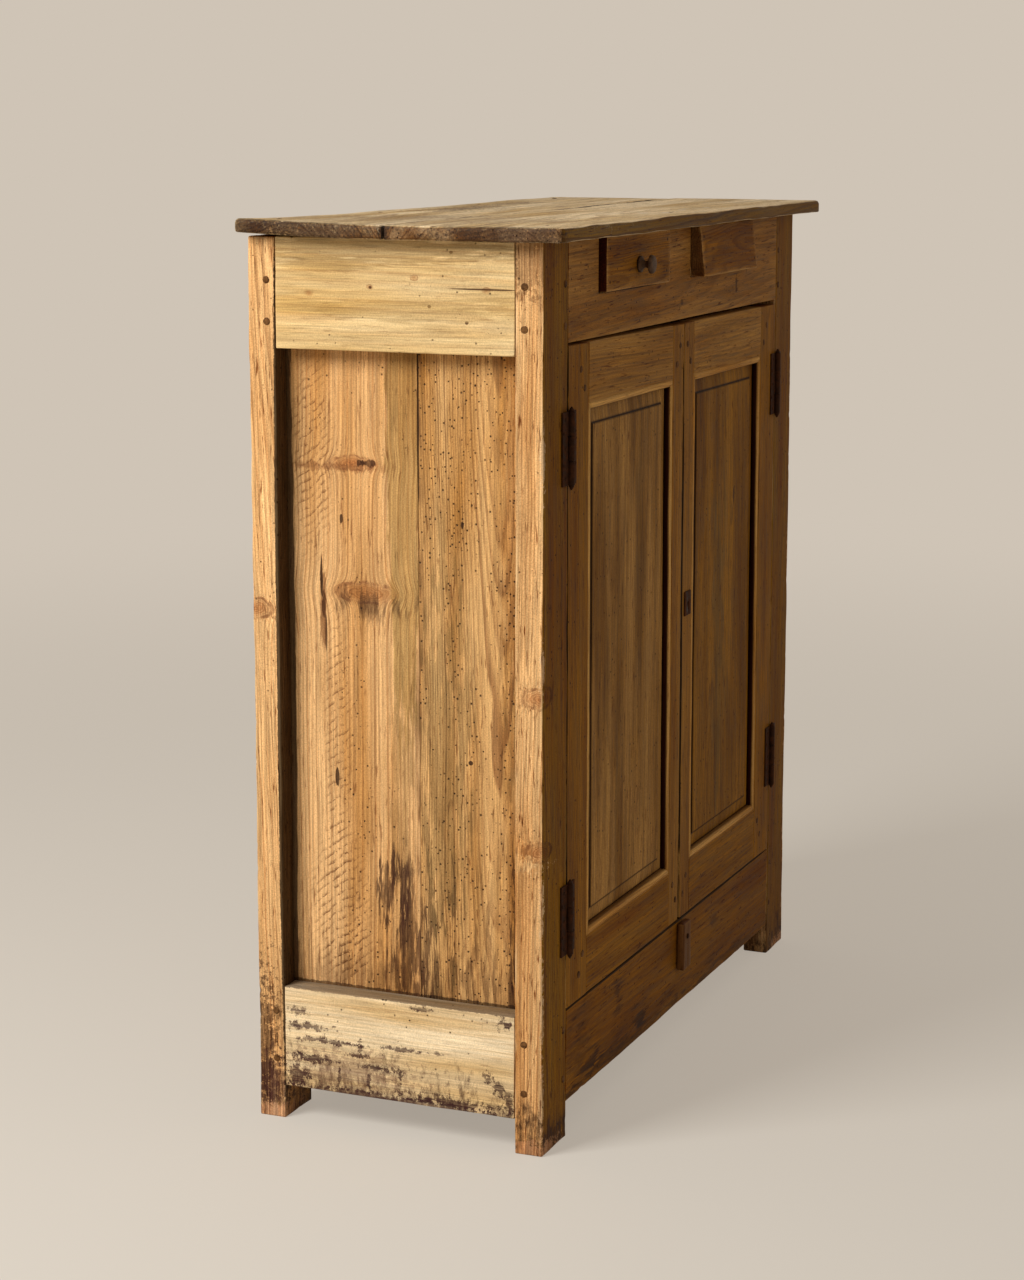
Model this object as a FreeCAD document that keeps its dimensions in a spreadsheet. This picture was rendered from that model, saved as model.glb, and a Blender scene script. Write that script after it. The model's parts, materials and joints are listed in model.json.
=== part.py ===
import FreeCAD, Part
import Sketcher
import os
import re
from FreeCAD import Placement, Rotation, Vector

# A two-door pine cupboard with two drawers, pegged frame and raised door panels.
# +X runs to the right along the front, +Y to the back, +Z up; the floor is z = 0.
doc = FreeCAD.newDocument("cupboard")

# Driving dimensions, in millimetres
DIMENSIONS = {
    # carcass over the posts, and the top with its overhangs
    "width": 1029,
    "depth": 408,
    "carcass_top": 1173,
    "top_thick": 18,
    "over_side": 25,
    "over_front": 38,
    "over_back": 8,
    "top_joint": 16.5,
    "top_gap": 0.8,
    "top_corner": 9,
    "top_edge": 3,
    # posts
    "post_wide": 82,
    "post_back_wide": 76,
    "post_deep": 38,
    # side rails and side panels
    "side_rail_thick": 44,
    "side_top_low": 1031,
    "side_bottom_low": 46,
    "side_bottom_high": 183,
    "side_panel_inset": 30,
    "side_panel_thick": 12,
    "side_panel_joint": -5,
    "tongue_thick": 4,
    "tongue_long": 6,
    # front frame, doors and their joints
    "board": 24,
    "frieze_low": 1043,
    "front_rail_low": 47,
    "front_rail_high": 172,
    "door_low": 173.5,
    "door_high": 1039.5,
    "door_gap": 1.5,
    "meeting_line": 8,
    "meeting_gap": 3,
    "hinge_stile": 71,
    "meeting_stile": 42,
    "door_top_rail": 78,
    "door_bottom_rail": 79,
    "tenon_thick": 8,
    "tenon_inset": 10,
    "tenon_shoulder": 14,
    "tenon_long": 30,
    "hinge_tenon_long": 53.25,
    "side_tenon_long": 25,
    "side_tenon_thick": 12,
    "groove_deep": 10,
    "fit": 0.2,
    "overcut": 1,
    # raised door panel and the moulding around it
    "field_margin": 30,
    "field_below": 6,
    "field_step": 2,
    "bevel_foot": 11,
    "panel_back": 18,
    # back, floor and shelves
    "back_thick": 12,
    "back_board_gap": 1.5,
    "floor_low": 162,
    "floor_thick": 18,
    "shelf_low_z": 468,
    "shelf_high_z": 762,
    "shelf_thick": 18,
    "shelf_inset": 1,
    "cleat_wide": 20,
    "cleat_high": 22,
    # drawers and their runners
    "sill": 1099,
    "cut_wide": 252,
    "cut_left": -326,
    "cut_right": 32,
    "drawer_wide": 242,
    "drawer_left_x": -318,
    "drawer_right_x": 38,
    "drawer_high": 71,
    "drawer_lift": 1,
    "drawer_long": 320,
    "drawer_front_thick": 20,
    "drawer_board": 10,
    "drawer_side_high": 58,
    "drawer_bottom_thick": 7,
    "drawer_left_proud": 8,
    "drawer_right_proud": 19,
    "drawer_rake": 7.5,
    "runner_wide": 20,
    "runner_high": 20,
    "guide_high": 26,
    "guide_gap": 1.2,
    # knob
    "knob_z": 1130,
    "knob_long": 21,
    "knob_base": 11,
    "knob_neck": 4.5,
    "knob_head": 12.5,
    # pegs
    "peg": 4.9,
    "peg_long": 24,
    "peg_proud": 0.8,
    "peg_in": 10,
    "peg_top_down": 55,
    "peg_top_apart": 53,
    "peg_low_up": 36,
    "peg_low_apart": 66,
    "door_peg_out": 15,
    "door_peg_up": 20,
    "door_peg_apart_x": 13,
    "door_peg_apart_z": 25,
    # hinges
    "hinge_high": 94,
    "hinge_left_upper": 910.5,
    "hinge_left_lower": 296,
    "hinge_right_upper": 914,
    "hinge_right_lower": 325.5,
    "leaf_wide": 23,
    "leaf_thick": 2.4,
    "knuckle": 4.5,
    "knuckle_gap": 0.35,
    "leaf_clear": 5.4,
    "pin": 2,
    "pin_hole": 2.3,
    "finial": 3.6,
    "collar_high": 2,
    "finial_high": 6,
    # lock and escutcheon
    "lock_z": 635.5,
    "plate_wide": 26,
    "plate_high": 35,
    "plate_thick": 2,
    "plate_bevel": 0.8,
    "keyhole": 3,
    "keyhole_slot": 9,
    "case_wide": 38,
    "case_high": 60,
    "case_deep": 13,
    "case_wall": 2,
    "bolt_high": 14,
    "bolt_thick": 6,
    "bolt_long": 27,
    # turn button
    "button_x": 15,
    "button_wide": 32,
    "button_high": 70,
    "button_thick": 11,
    "button_pivot": 22,
    "button_low": 100,
    "button_clear": 1,
    "button_round": 4,
    "button_nail": 2,
    # nails of the top
    "nail": 3.2,
    "nail_head": 7,
    "nail_head_thick": 1.2,
    "nail_long": 46,
    "nail_left_off": 50,
    "nail_right_off": 60,
}

sheet = doc.addObject("Spreadsheet::Sheet", "Dims")
for row, (alias, size) in enumerate(DIMENSIONS.items(), start=1):
    sheet.set(f"A{row}", alias)
    sheet.set(f"B{row}", str(size))
    sheet.setAlias(f"B{row}", alias)
doc.recompute()

# Planes that follow from the driving dimensions
PLANES = {
    "front": "(over_front - over_back) / 2 - depth / 2",
    "back": "front + depth",
    "half": "width / 2",
    "post_in": "half - post_wide",
    "back_in": "half - post_back_wide",
    "front_post_back": "front + post_deep",
    "back_post_front": "back - post_deep",
    "side_rail_in": "half - side_rail_thick",
    "panel_out": "half - side_panel_inset",
    "panel_in": "panel_out - side_panel_thick",
    "board_back": "front + board",
    "back_rail_back": "back - back_thick",
    "back_rail_front": "back_rail_back - board",
    "floor_top": "floor_low + floor_thick",
    "drawer_z": "sill + drawer_lift",
    "hinge_x": "post_in - door_gap / 2",
    "hinge_y": "front - knuckle - fit",
    "button_y": "front - button_clear - button_thick",
    "button_z": "button_low + button_high - button_pivot",
    "case_x": "meeting_line + meeting_gap / 2 + case_wall",
    "case_z": "lock_z - case_high / 2",
}

NODES = []


def formula(text):
    """Turn a formula in plain names into one that refers to the sheet's cells."""
    def swap(match):
        word = match.group(0)
        if word in DIMENSIONS:
            return "Dims." + word
        return "(" + formula(PLANES[word]) + ")"
    return re.sub(r"[a-z_]+", swap, str(text))


def node(piece, label):
    """Name a finished sub-part; the name is also its file's."""
    piece.Label = label
    NODES.append(piece)
    return piece


def bind(piece, **sizes):
    """Bind properties of a piece to formulas."""
    for name, text in sizes.items():
        piece.setExpression(name, formula(text))
    return piece


def put(piece, x, y, z):
    """Bind the place of a piece to formulas."""
    for axis, text in zip("xyz", (x, y, z)):
        piece.setExpression(f"Placement.Base.{axis}", formula(text))
    return piece


def box(name, block):
    """A squared piece between two planes on each axis."""
    piece = doc.addObject("Part::Box", name)
    for (low, high), side in zip(block, ("Length", "Width", "Height")):
        piece.setExpression(side, formula(f"({high}) - ({low})"))
    return put(piece, *(low for low, high in block))


def grown(block, by):
    """The same block, larger by a clearance on every side."""
    return [(f"({low}) - ({by})", f"({high}) + ({by})") for low, high in block]


def flipped(block):
    """The same block on the other side of the middle plane."""
    (low, high), y, z = block
    return [(f"-({high})", f"-({low})"), y, z]


HANDS = {"left": flipped, "right": list}


def cut(base, *tools):
    """Take each tool away from a piece."""
    for tool in tools:
        result = doc.addObject("Part::Cut", base.Name + "_cut")
        result.Base = base
        result.Tool = tool
        base = result
    return base


def joined(name, *pieces):
    """One solid made of touching pieces."""
    result = doc.addObject("Part::MultiFuse", name)
    result.Shapes = list(pieces)
    result.Refine = True
    return result


def group(name, pieces):
    """Separate solids that share one node."""
    result = doc.addObject("Part::Compound", name)
    result.Links = list(pieces)
    return result


ALONG = {
    "x": Rotation(Vector(0, 1, 0), 90),
    "y": Rotation(Vector(1, 0, 0), -90),
    "z": Rotation(),
}


def rod(name, start, axis, radius, length, sides=0):
    """A round rod, or a whittled one with flat sides, from a point along an axis."""
    piece = doc.addObject("Part::Prism" if sides else "Part::Cylinder", name)
    if sides:
        piece.Polygon = sides
        bind(piece, Circumradius=radius, Height=length)
    else:
        bind(piece, Radius=radius, Height=length)
    piece.Placement = Placement(Vector(), ALONG[axis])
    return put(piece, *start)


PEG_SIDES = 8


def pegs(name, spots, length):
    """Whittled pegs at (point, axis) spots, and the slightly larger holes that they fill."""
    made, holes = [], []
    for number, (point, axis) in enumerate(spots, start=1):
        made.append(rod(f"{name}_{number}", point, axis, "peg", length, PEG_SIDES))
        holes.append(rod(f"{name}_hole_{number}", point, axis, "peg + fit", length, PEG_SIDES))
    return group(name, made), group(name + "_holes", holes)


def opposite(point, axis):
    """A peg's start on the other side of the cupboard; one that runs along X still runs to +X."""
    x, y, z = point
    return (f"-({x}) - peg_long" if axis == "x" else f"-({x})", y, z), axis


# Pegs of the frame: two in each end of every rail, seen on the post's face
PEG_ROWS = {
    "top": ("carcass_top - peg_top_down", "carcass_top - peg_top_down - peg_top_apart"),
    "bottom": ("side_bottom_low + peg_low_up + peg_low_apart", "side_bottom_low + peg_low_up"),
}
frame_spots = []
for heights in PEG_ROWS.values():
    for height in heights:
        right_spots = [
            (("half + peg_proud - peg_long", "front_post_back - side_tenon_long / 2", height), "x"),
            (("half + peg_proud - peg_long", "back_post_front + side_tenon_long / 2", height), "x"),
            (("post_in + peg_in", "front - peg_proud", height), "y"),
            (("back_in + peg_in", "back + peg_proud - peg_long", height), "y"),
        ]
        frame_spots += right_spots + [opposite(*spot) for spot in right_spots]
frame_pegs, frame_holes = pegs("frame_pegs", frame_spots, "peg_long")
node(frame_pegs, "frame_pegs")

# Nails of the top: square shanks with flat heads, set flush
front_nail_y, back_nail_y = "front + board / 2", "back_rail_front + board / 2"
nail_spots = [(f"{side}(post_in + post_wide / 2)", y) for side in "+-" for y in (front_nail_y, back_nail_y)]
nail_spots += [("cut_left - nail_left_off", front_nail_y),
               ("(cut_left + cut_wide + cut_right) / 2", front_nail_y),
               ("cut_right + cut_wide + nail_right_off", front_nail_y)]
nail_spots += [("-half / 3", back_nail_y), ("half / 3", back_nail_y)]


def nail(number, x, y):
    """One nail, from the face of the top down."""
    top = "carcass_top + top_thick"
    shank = [*grown([(x, x), (y, y)], "nail / 2"), (f"{top} - nail_long", f"{top} - nail_head_thick / 2")]
    head = [*grown([(x, x), (y, y)], "nail_head / 2"), (f"{top} - nail_head_thick", top)]
    return joined(f"nail_{number}", box(f"nail_shank_{number}", shank), box(f"nail_head_{number}", head))


top_nails = group("top_nails", [nail(n, *spot) for n, spot in enumerate(nail_spots, start=1)])
node(top_nails, "top_nails")

# Side rails, right hand: bodies between the posts, with a tenon at both ends
side_long = ("front_post_back", "back_post_front")
side_tenon_y = ("front_post_back - side_tenon_long", "back_post_front + side_tenon_long")
side_tenon_x = ("half - board + fit", "half - board + side_tenon_thick + fit")
SIDE_RAILS = {
    "side_top_rail": (("side_top_low", "carcass_top"),
                      ("side_top_low + tenon_shoulder", "carcass_top - board")),
    "side_bottom_rail": (("side_bottom_low", "side_bottom_high"),
                         ("side_bottom_low + tenon_shoulder", "side_bottom_high - tenon_shoulder")),
}
side_groove = [("panel_in", "panel_out"),
               ("front_post_back - groove_deep", "back_post_front + groove_deep"),
               ("side_bottom_high - groove_deep", "side_top_low + groove_deep")]
side_mortises = {hand: [] for hand in HANDS}
side_grooves = {}
for hand, turn in HANDS.items():
    side_grooves[hand] = box(f"side_groove_{hand}", turn(grown(side_groove, "fit")))
    for name, (z, tenon_z) in SIDE_RAILS.items():
        body = box(f"{name}_{hand}_body", turn([("side_rail_in", "half"), side_long, z]))
        tenon = [side_tenon_x, side_tenon_y, tenon_z]
        ends = box(f"{name}_{hand}_tenons", turn(tenon))
        rail = cut(joined(f"{name}_{hand}_whole", body, ends), side_grooves[hand], frame_holes)
        node(rail, f"{name}_{hand}")
        side_mortises[hand].append(box(f"{name}_{hand}_mortise", turn(grown(tenon, "fit"))))

# Front and back rails, each with tenons into its two posts
cross_tenon_y = ("front + tenon_inset - fit", "front + tenon_inset + tenon_thick - fit")
back_tenon_y = ("back_rail_front + tenon_thick", "back_rail_front + tenon_thick * 2")
front_tenon_x = ("-post_in - tenon_long", "post_in + tenon_long")
back_tenon_x = ("-back_in - tenon_long", "back_in + tenon_long")
front_rail = [("-post_in", "post_in"), ("front", "board_back")]
back_rail = [("-back_in", "back_in"), ("back_rail_front", "back_rail_back")]
CROSS_RAILS = {
    "frieze_board": (*front_rail, ("frieze_low", "carcass_top"), front_tenon_x, cross_tenon_y),
    "front_bottom_rail": (*front_rail, ("front_rail_low", "front_rail_high"), front_tenon_x, cross_tenon_y),
    "back_top_rail": (*back_rail, ("side_top_low", "carcass_top"), back_tenon_x, back_tenon_y),
    "back_bottom_rail": (*back_rail, ("side_bottom_low", "side_bottom_high"), back_tenon_x, back_tenon_y),
}
through_board = ("front - overcut", "board_back + overcut")
drawer_cuts = [box(f"drawer_cut_{side}", [(side, f"{side} + cut_wide"), through_board,
                                          ("sill", "carcass_top + overcut")])
               for side in ("cut_left", "cut_right")]
button_nail_hole = rod("button_nail_hole", ("button_x", "front - overcut", "button_z"), "y",
                       "button_nail + fit / 2", "board")
front_mortises, back_mortises = [], []
for name, (x, y, z, tenon_x, tenon_y) in CROSS_RAILS.items():
    tenon = [tenon_x, tenon_y, (f"{z[0]} + tenon_shoulder", f"{z[1]} - tenon_shoulder")]
    rail = joined(f"{name}_whole", box(f"{name}_body", [x, y, z]), box(f"{name}_tenons", tenon))
    tools = [frame_holes]
    if name == "frieze_board":
        tools += drawer_cuts + [top_nails]
    if name == "back_top_rail":
        tools += [top_nails]
    if name == "front_bottom_rail":
        tools += [button_nail_hole]
    node(cut(rail, *tools), name)
    mortises = front_mortises if tenon_x == front_tenon_x else back_mortises
    mortises.append(box(f"{name}_mortise", grown(tenon, "fit")))

# Posts; their lower ends are the feet
front_post_block = [("post_in", "half"), ("front", "front_post_back"), ("0", "carcass_top")]
back_post_block = [("back_in", "half"), ("back_post_front", "back"), ("0", "carcass_top")]
for hand, turn in HANDS.items():
    front_post = box(f"post_front_{hand}_blank", turn(front_post_block))
    back_post = box(f"post_back_{hand}_blank", turn(back_post_block))
    shared = side_mortises[hand] + [side_grooves[hand], frame_holes, top_nails]
    node(cut(front_post, *shared, *front_mortises), f"post_front_{hand}")
    node(cut(back_post, *shared, *back_mortises), f"post_back_{hand}")

# Side panels: two upright boards in the grooves, with a tongue between them
panel_z = ("side_bottom_high - groove_deep + fit", "side_top_low + groove_deep - fit")
panel_y = ("front_post_back - groove_deep + fit", "back_post_front + groove_deep - fit")
tongue_x = ("(panel_in + panel_out - tongue_thick) / 2", "(panel_in + panel_out + tongue_thick) / 2")
for hand, turn in HANDS.items():
    tongue = [tongue_x, ("side_panel_joint - tongue_long", "side_panel_joint + overcut"), panel_z]
    front_board = box(f"side_board_front_{hand}", turn([("panel_in", "panel_out"),
                                                       (panel_y[0], "side_panel_joint - fit"), panel_z]))
    back_board = box(f"side_board_back_{hand}", turn([("panel_in", "panel_out"),
                                                     ("side_panel_joint", panel_y[1]), panel_z]))
    slot = box(f"side_tongue_slot_{hand}", turn(grown(tongue, "fit")))
    node(cut(front_board, slot), f"side_panel_front_{hand}")
    node(joined(f"side_tongue_board_{hand}", back_board, box(f"side_tongue_{hand}", turn(tongue))),
         f"side_panel_back_{hand}")

# Back: upright boards between the back posts, nailed on the rails
BACK_BOARDS = 5
pitch = f"(2 * back_in + back_board_gap) / {BACK_BOARDS}"
back_boards = [box(f"back_board_{n}", [(f"-back_in + {pitch} * {n}",
                                        f"-back_in + {pitch} * {n + 1} - back_board_gap"),
                                       ("back_rail_back", "back"), ("side_bottom_low", "carcass_top")])
               for n in range(BACK_BOARDS)]
node(cut(group("back_boards_blank", back_boards), frame_holes), "back_boards")

# Floor: three boards along the cupboard, the front one notched round the posts
FLOOR_BOARDS = 3
floor_start, floor_end = "board_back + fit", "back_post_front - fit"
floor_pitch = f"(({floor_end}) - ({floor_start}) + back_board_gap) / {FLOOR_BOARDS}"
floor_boards = [box(f"floor_board_{n}", [("-side_rail_in + fit", "side_rail_in - fit"),
                                         (f"{floor_start} + {floor_pitch} * {n}",
                                          f"{floor_start} + {floor_pitch} * {n + 1} - back_board_gap"),
                                         ("floor_low", "floor_top")]) for n in range(FLOOR_BOARDS)]
post_notches = [box(f"floor_notch_{hand}", turn(grown(front_post_block, "fit")))
                for hand, turn in HANDS.items()]
floor_boards[0] = cut(floor_boards[0], *post_notches)
node(group("floor_boards", floor_boards), "floor_boards")

# Shelves: one wide board each, notched round the back posts
back_notches = [box(f"shelf_notch_{hand}", turn(grown(back_post_block, "fit")))
                for hand, turn in HANDS.items()]
SHELVES = {"shelf_lower": "shelf_low_z", "shelf_upper": "shelf_high_z"}
for name, z in SHELVES.items():
    shelf = box(f"{name}_blank", [("-panel_in + shelf_inset", "panel_in - shelf_inset"),
                                  ("front_post_back + shelf_inset", "back_rail_back - shelf_inset"),
                                  (z, f"{z} + shelf_thick")])
    node(cut(shelf, *back_notches), name)

# Cleats that carry the floor and the shelves
cleats = [box("cleat_floor_front", [("-post_in + board", "post_in - board"),
                                    ("board_back", "board_back + cleat_wide"),
                                    ("floor_low - cleat_high", "floor_low")])]
cleat_y = ("front_post_back + cleat_wide", "back_post_front - fit")
CLEATS = {"floor": ("side_rail_in", "floor_low"), "low": ("panel_in", "shelf_low_z"),
          "high": ("panel_in", "shelf_high_z")}
for hand, turn in HANDS.items():
    for name, (x, z) in CLEATS.items():
        block = [(f"{x} - cleat_wide", x), cleat_y, (f"{z} - cleat_high", z)]
        cleats.append(box(f"cleat_{name}_{hand}", turn(block)))
node(group("cleats", cleats), "cleats")

# Drawer runners: a ledge under each drawer side, with a guide beside it, from the frieze to the back rail
runner_y = ("board_back", "back_rail_front")
runners = []
for side in ("drawer_left_x", "drawer_right_x"):
    for end, inner, outer in (("a", f"{side}", "-1"), ("b", f"{side} + drawer_wide", "1")):
        edge, wall = f"{inner} + {outer} * guide_gap", f"{inner} + {outer} * (guide_gap + runner_wide)"
        ledge_x = (f"{inner} - {outer} * drawer_board", wall)
        guide_x = (edge, wall)
        if outer == "-1":
            ledge_x, guide_x = ledge_x[::-1], guide_x[::-1]
        ledge = box(f"ledge_{side}_{end}", [ledge_x, runner_y, ("sill - runner_high", "sill")])
        guide = box(f"guide_{side}_{end}", [guide_x, runner_y, ("sill - overcut", "sill + guide_high")])
        runners.append(joined(f"runner_{side}_{end}", ledge, guide))
node(group("drawer_runners", runners), "drawer_runners")


def origin_plane(body, role):
    """One of a body's own origin planes."""
    return next(plane for plane in body.Origin.OriginFeatures if plane.Role == role)


def sketch_on(body, role, name):
    """An empty sketch on one of a body's origin planes."""
    sketch = body.newObject("Sketcher::SketchObject", name)
    sketch.AttachmentSupport = [(origin_plane(body, role), "")]
    sketch.MapMode = "FlatFace"
    return sketch


def value(name):
    """A driving dimension, or a plane, as a number."""
    probe = doc.addObject("Part::Box", "probe")
    probe.setExpression("Placement.Base.x", formula(name))
    doc.recompute()
    number = probe.Placement.Base.x
    doc.removeObject(probe.Name)
    return number


def rectangle(sketch, wide, high):
    """A rectangle from the sketch's origin, with its two sizes bound to formulas."""
    w, h = value(wide), value(high)
    corners = [Vector(0, 0), Vector(w, 0), Vector(w, h), Vector(0, h)]
    for start, end in zip(corners, corners[1:] + corners[:1]):
        sketch.addGeometry(Part.LineSegment(start, end))
    for first, second in ((0, 1), (1, 2), (2, 3), (3, 0)):
        sketch.addConstraint(Sketcher.Constraint("Coincident", first, 2, second, 1))
    for kind, line in (("Horizontal", 0), ("Horizontal", 2), ("Vertical", 1), ("Vertical", 3)):
        sketch.addConstraint(Sketcher.Constraint(kind, line))
    sketch.addConstraint(Sketcher.Constraint("Coincident", 0, 1, -1, 1))
    for line, start, end, kind, size in ((0, 1, 2, "DistanceX", wide), (1, 1, 2, "DistanceY", high)):
        index = sketch.addConstraint(Sketcher.Constraint(kind, line, start, line, end, value(size)))
        sketch.setExpression(f"Constraints[{index}]", formula(size))


def padded(name, wide, high, thick):
    """A body whose outline lies flat and is padded upwards."""
    body = doc.addObject("PartDesign::Body", name)
    sketch = sketch_on(body, "XY_Plane", name + "_outline")
    rectangle(sketch, wide, high)
    pad = body.newObject("PartDesign::Pad", name + "_pad")
    pad.Profile = sketch
    bind(pad, Length=thick)
    doc.recompute()
    return body, pad


def edges_of(base, chosen):
    """A feature and the names of those of its edges that a test picks."""
    return base, [f"Edge{n}" for n, edge in enumerate(base.Shape.Edges, start=1) if chosen(edge)]


def softened(body, kind, name, picked, **size):
    """Round or bevel picked edges of a body's last feature."""
    feature = body.newObject("PartDesign::" + kind, name)
    feature.Base = picked
    bind(feature, **size)
    doc.recompute()
    return feature


# Top: two boards with rounded outer corners and bevelled rims
TINY = 0.01
over = "half + over_side"
TOP_BOARDS = {
    "top_front_board": ("front - over_front", "top_joint - top_gap / 2", "front"),
    "top_back_board": ("top_joint + top_gap / 2", "back + over_back", "back"),
}


def is_upright(edge):
    """Whether an edge of a flat board stands upright."""
    return edge.BoundBox.ZLength > TINY


for name, (low, high, outer) in TOP_BOARDS.items():
    wide = f"({high}) - ({low})"
    body, pad = padded(name + "_body", f"2 * ({over})", wide, "top_thick")
    joint_y = value(wide) if outer == "front" else 0

    def is_outer(edge):
        """Whether an edge lies off the joint between the two boards."""
        return abs(edge.CenterOfMass.y - joint_y) > TINY

    picked = edges_of(pad, lambda edge: is_upright(edge) and is_outer(edge))
    corners = softened(body, "Fillet", name + "_corners", picked, Radius="top_corner")
    picked = edges_of(corners, lambda edge: not is_upright(edge) and is_outer(edge))
    softened(body, "Chamfer", name + "_rim", picked, Size="top_edge")
    put(body, f"-({over})", low, "carcass_top")
    node(cut(body, top_nails), name)

# Hinges: surface leaves of iron with a barrel at the gap beside the door
HINGES = {
    "left": ("hinge_left_upper", "hinge_left_lower"),
    "right": ("hinge_right_upper", "hinge_right_lower"),
}
frame_leaves, hinge_pins, door_leaves = [], [], {}


def leaf(name, turn, low, knuckles, outward):
    """One leaf: a plate on the face, joined to its knuckles, with the pin's hole through them."""
    near, far = ("hinge_x + leaf_clear", "hinge_x + leaf_wide")
    if not outward:
        near, far = ("hinge_x - leaf_wide", "hinge_x - leaf_clear")
    face = ("front - leaf_thick", "front")
    parts = [box(f"{name}_plate", turn([(near, far), face, (low, f"{low} + hinge_high")]))]
    x, y = put_side(turn, "hinge_x"), "hinge_y"
    for number, (start, end) in enumerate(knuckles):
        bottom, height = f"{low} + {start}", f"({end}) - ({start})"
        parts.append(rod(f"{name}_knuckle_{number}", (x, y, bottom), "z", "knuckle", height))
        strap_x = ("hinge_x", near) if outward else (far, "hinge_x")
        parts.append(box(f"{name}_strap_{number}", turn([strap_x, ("front - leaf_thick", "front - fit"),
                                                        (bottom, f"{bottom} + {height}")])))
    bore = rod(f"{name}_bore", (x, y, f"{low} - overcut"), "z", "pin_hole", "hinge_high + 2 * overcut",
               PEG_SIDES)
    return cut(joined(name, *parts), bore)


def put_side(turn, x):
    """A right-hand X on the side that a hand's turn gives."""
    return turn([(x, x), ("0", "0"), ("0", "0")])[0][0]


third = "hinge_high / 3"
OUTER_KNUCKLES = [("0", f"{third} - knuckle_gap"), (f"2 * {third} + knuckle_gap", "hinge_high")]
INNER_KNUCKLE = [(third, f"2 * {third}")]
for hand, turn in HANDS.items():
    door_leaves[hand] = []
    for number, middle in enumerate(HINGES[hand]):
        low = f"{middle} - hinge_high / 2"
        frame_leaves.append(leaf(f"frame_leaf_{hand}_{number}", turn, low, OUTER_KNUCKLES, True))
        door_leaves[hand].append(leaf(f"door_leaf_{hand}_{number}", turn, low, INNER_KNUCKLE, False))
        x = put_side(turn, "hinge_x")
        shaft = rod(f"pin_{hand}_{number}", (x, "hinge_y", f"{low} - finial_high"), "z", "pin",
                    "hinge_high + 2 * finial_high", PEG_SIDES)
        collar_ends = {"top": f"{low} + hinge_high", "foot": f"{low} - collar_high"}
        collars = [rod(f"collar_{end}_{hand}_{number}", (x, "hinge_y", start), "z", "finial", "collar_high",
                       PEG_SIDES) for end, start in collar_ends.items()]
        hinge_pins.append(joined(f"hinge_pin_{hand}_{number}", shaft, *collars))
node(group("hinge_frame_leaves", frame_leaves), "hinge_frame_leaves")
node(group("hinge_pins", hinge_pins), "hinge_pins")

# Doors: pegged frames round raised panels, written for the right hand and turned for the left
tongue_y = ("front + tenon_inset", "front + tenon_inset + tenon_thick")
MEETING = {"left": "meeting_gap / 2 - meeting_line", "right": "meeting_gap / 2 + meeting_line"}
# The moulding's section: distance in from the frame's edge, and depth below the frame's face
MOULDING = ((0, 10), (0, 1.5), (1.2, 1.5), (1.8, 0.3), (6, 0.5), (9.5, 2.6), (10, 10))
LOCK_HOLE_LONG = "board + 2 * overcut"


def door_blocks(hand):
    """The squared members of a door frame, with their tenons, and the opening between them."""
    meet, hinge = MEETING[hand], "post_in - door_gap"
    inner = (f"{meet} + meeting_stile", f"{hinge} - hinge_stile")
    y, whole = ("front", "front + board"), ("door_low", "door_high")
    open_z = ("door_low + door_bottom_rail", "door_high - door_top_rail")
    members = {
        "hinge_stile": [(inner[1], hinge), y, whole],
        "meeting_stile": [(meet, inner[0]), y, whole],
        "top_rail": [inner, y, (open_z[1], "door_high")],
        "bottom_rail": [inner, y, ("door_low", open_z[0])],
    }
    reach = (f"{inner[0]} - tenon_long", f"{inner[1]} + hinge_tenon_long")
    tenons = {
        "top_rail": [reach, tongue_y, (f"{open_z[1]} + tenon_shoulder", "door_high - tenon_shoulder")],
        "bottom_rail": [reach, tongue_y, ("door_low + tenon_shoulder", f"{open_z[0]} - tenon_shoulder")],
    }
    return members, tenons, [inner, y, open_z]


def door_peg_spots(hand, opening):
    """Two pegs in each corner of a door, one beside and one below the other."""
    x, _, z = opening
    steps = (("door_peg_out", "door_peg_up"),
             ("(door_peg_out + door_peg_apart_x)", "(door_peg_up + door_peg_apart_z)"))
    spots = []
    for height, way in ((z[1], "1"), (z[0], "-1")):
        for edge, out in ((x[0], "-1"), (x[1], "1")):
            for across, up in steps:
                point = (f"{edge} + ({out}) * {across}", "front - peg_proud", f"{height} + ({way}) * {up}")
                spots.append((point, "y"))
    if hand == "left":
        spots = [((f"-({x})", y, z), axis) for (x, y, z), axis in spots]
    return spots


def moulding_ring(hand, opening):
    """Four mitred strips: each is ruled between the profile at two corners of the opening."""
    outline = box(f"door_{hand}_opening", HANDS[hand](opening))
    doc.recompute()
    frame = outline.Shape.BoundBox
    corners = [(frame.XMin, frame.ZMin, 1, 1), (frame.XMax, frame.ZMin, -1, 1),
               (frame.XMax, frame.ZMax, -1, -1), (frame.XMin, frame.ZMax, 1, -1)]
    gap = value("fit")

    def profile(x, z, right, up):
        """The strip's section in the plane of the mitre: straight but for its bead."""
        points = [Vector(x + right * (inward + gap), frame.YMin + deep, z + up * (inward + gap))
                  for inward, deep in MOULDING]
        foot, quirk, fillet, rise, crown, lip, toe = points
        sides = [Part.LineSegment(a, b) for a, b in ((foot, quirk), (quirk, fillet), (fillet, rise))]
        sides += [Part.Arc(rise, crown, lip), Part.LineSegment(lip, toe), Part.LineSegment(toe, foot)]
        return Part.Wire([side.toShape() for side in sides])

    sections = [profile(*corner) for corner in corners]
    strips = [Part.makeLoft([a, b], True, True) for a, b in zip(sections, sections[1:] + sections[:1])]
    ring = doc.addObject("Part::Feature", f"door_{hand}_mouldings_ring")
    ring.Shape = Part.makeCompound(strips)
    ring.Placement = Placement()
    return ring


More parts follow.
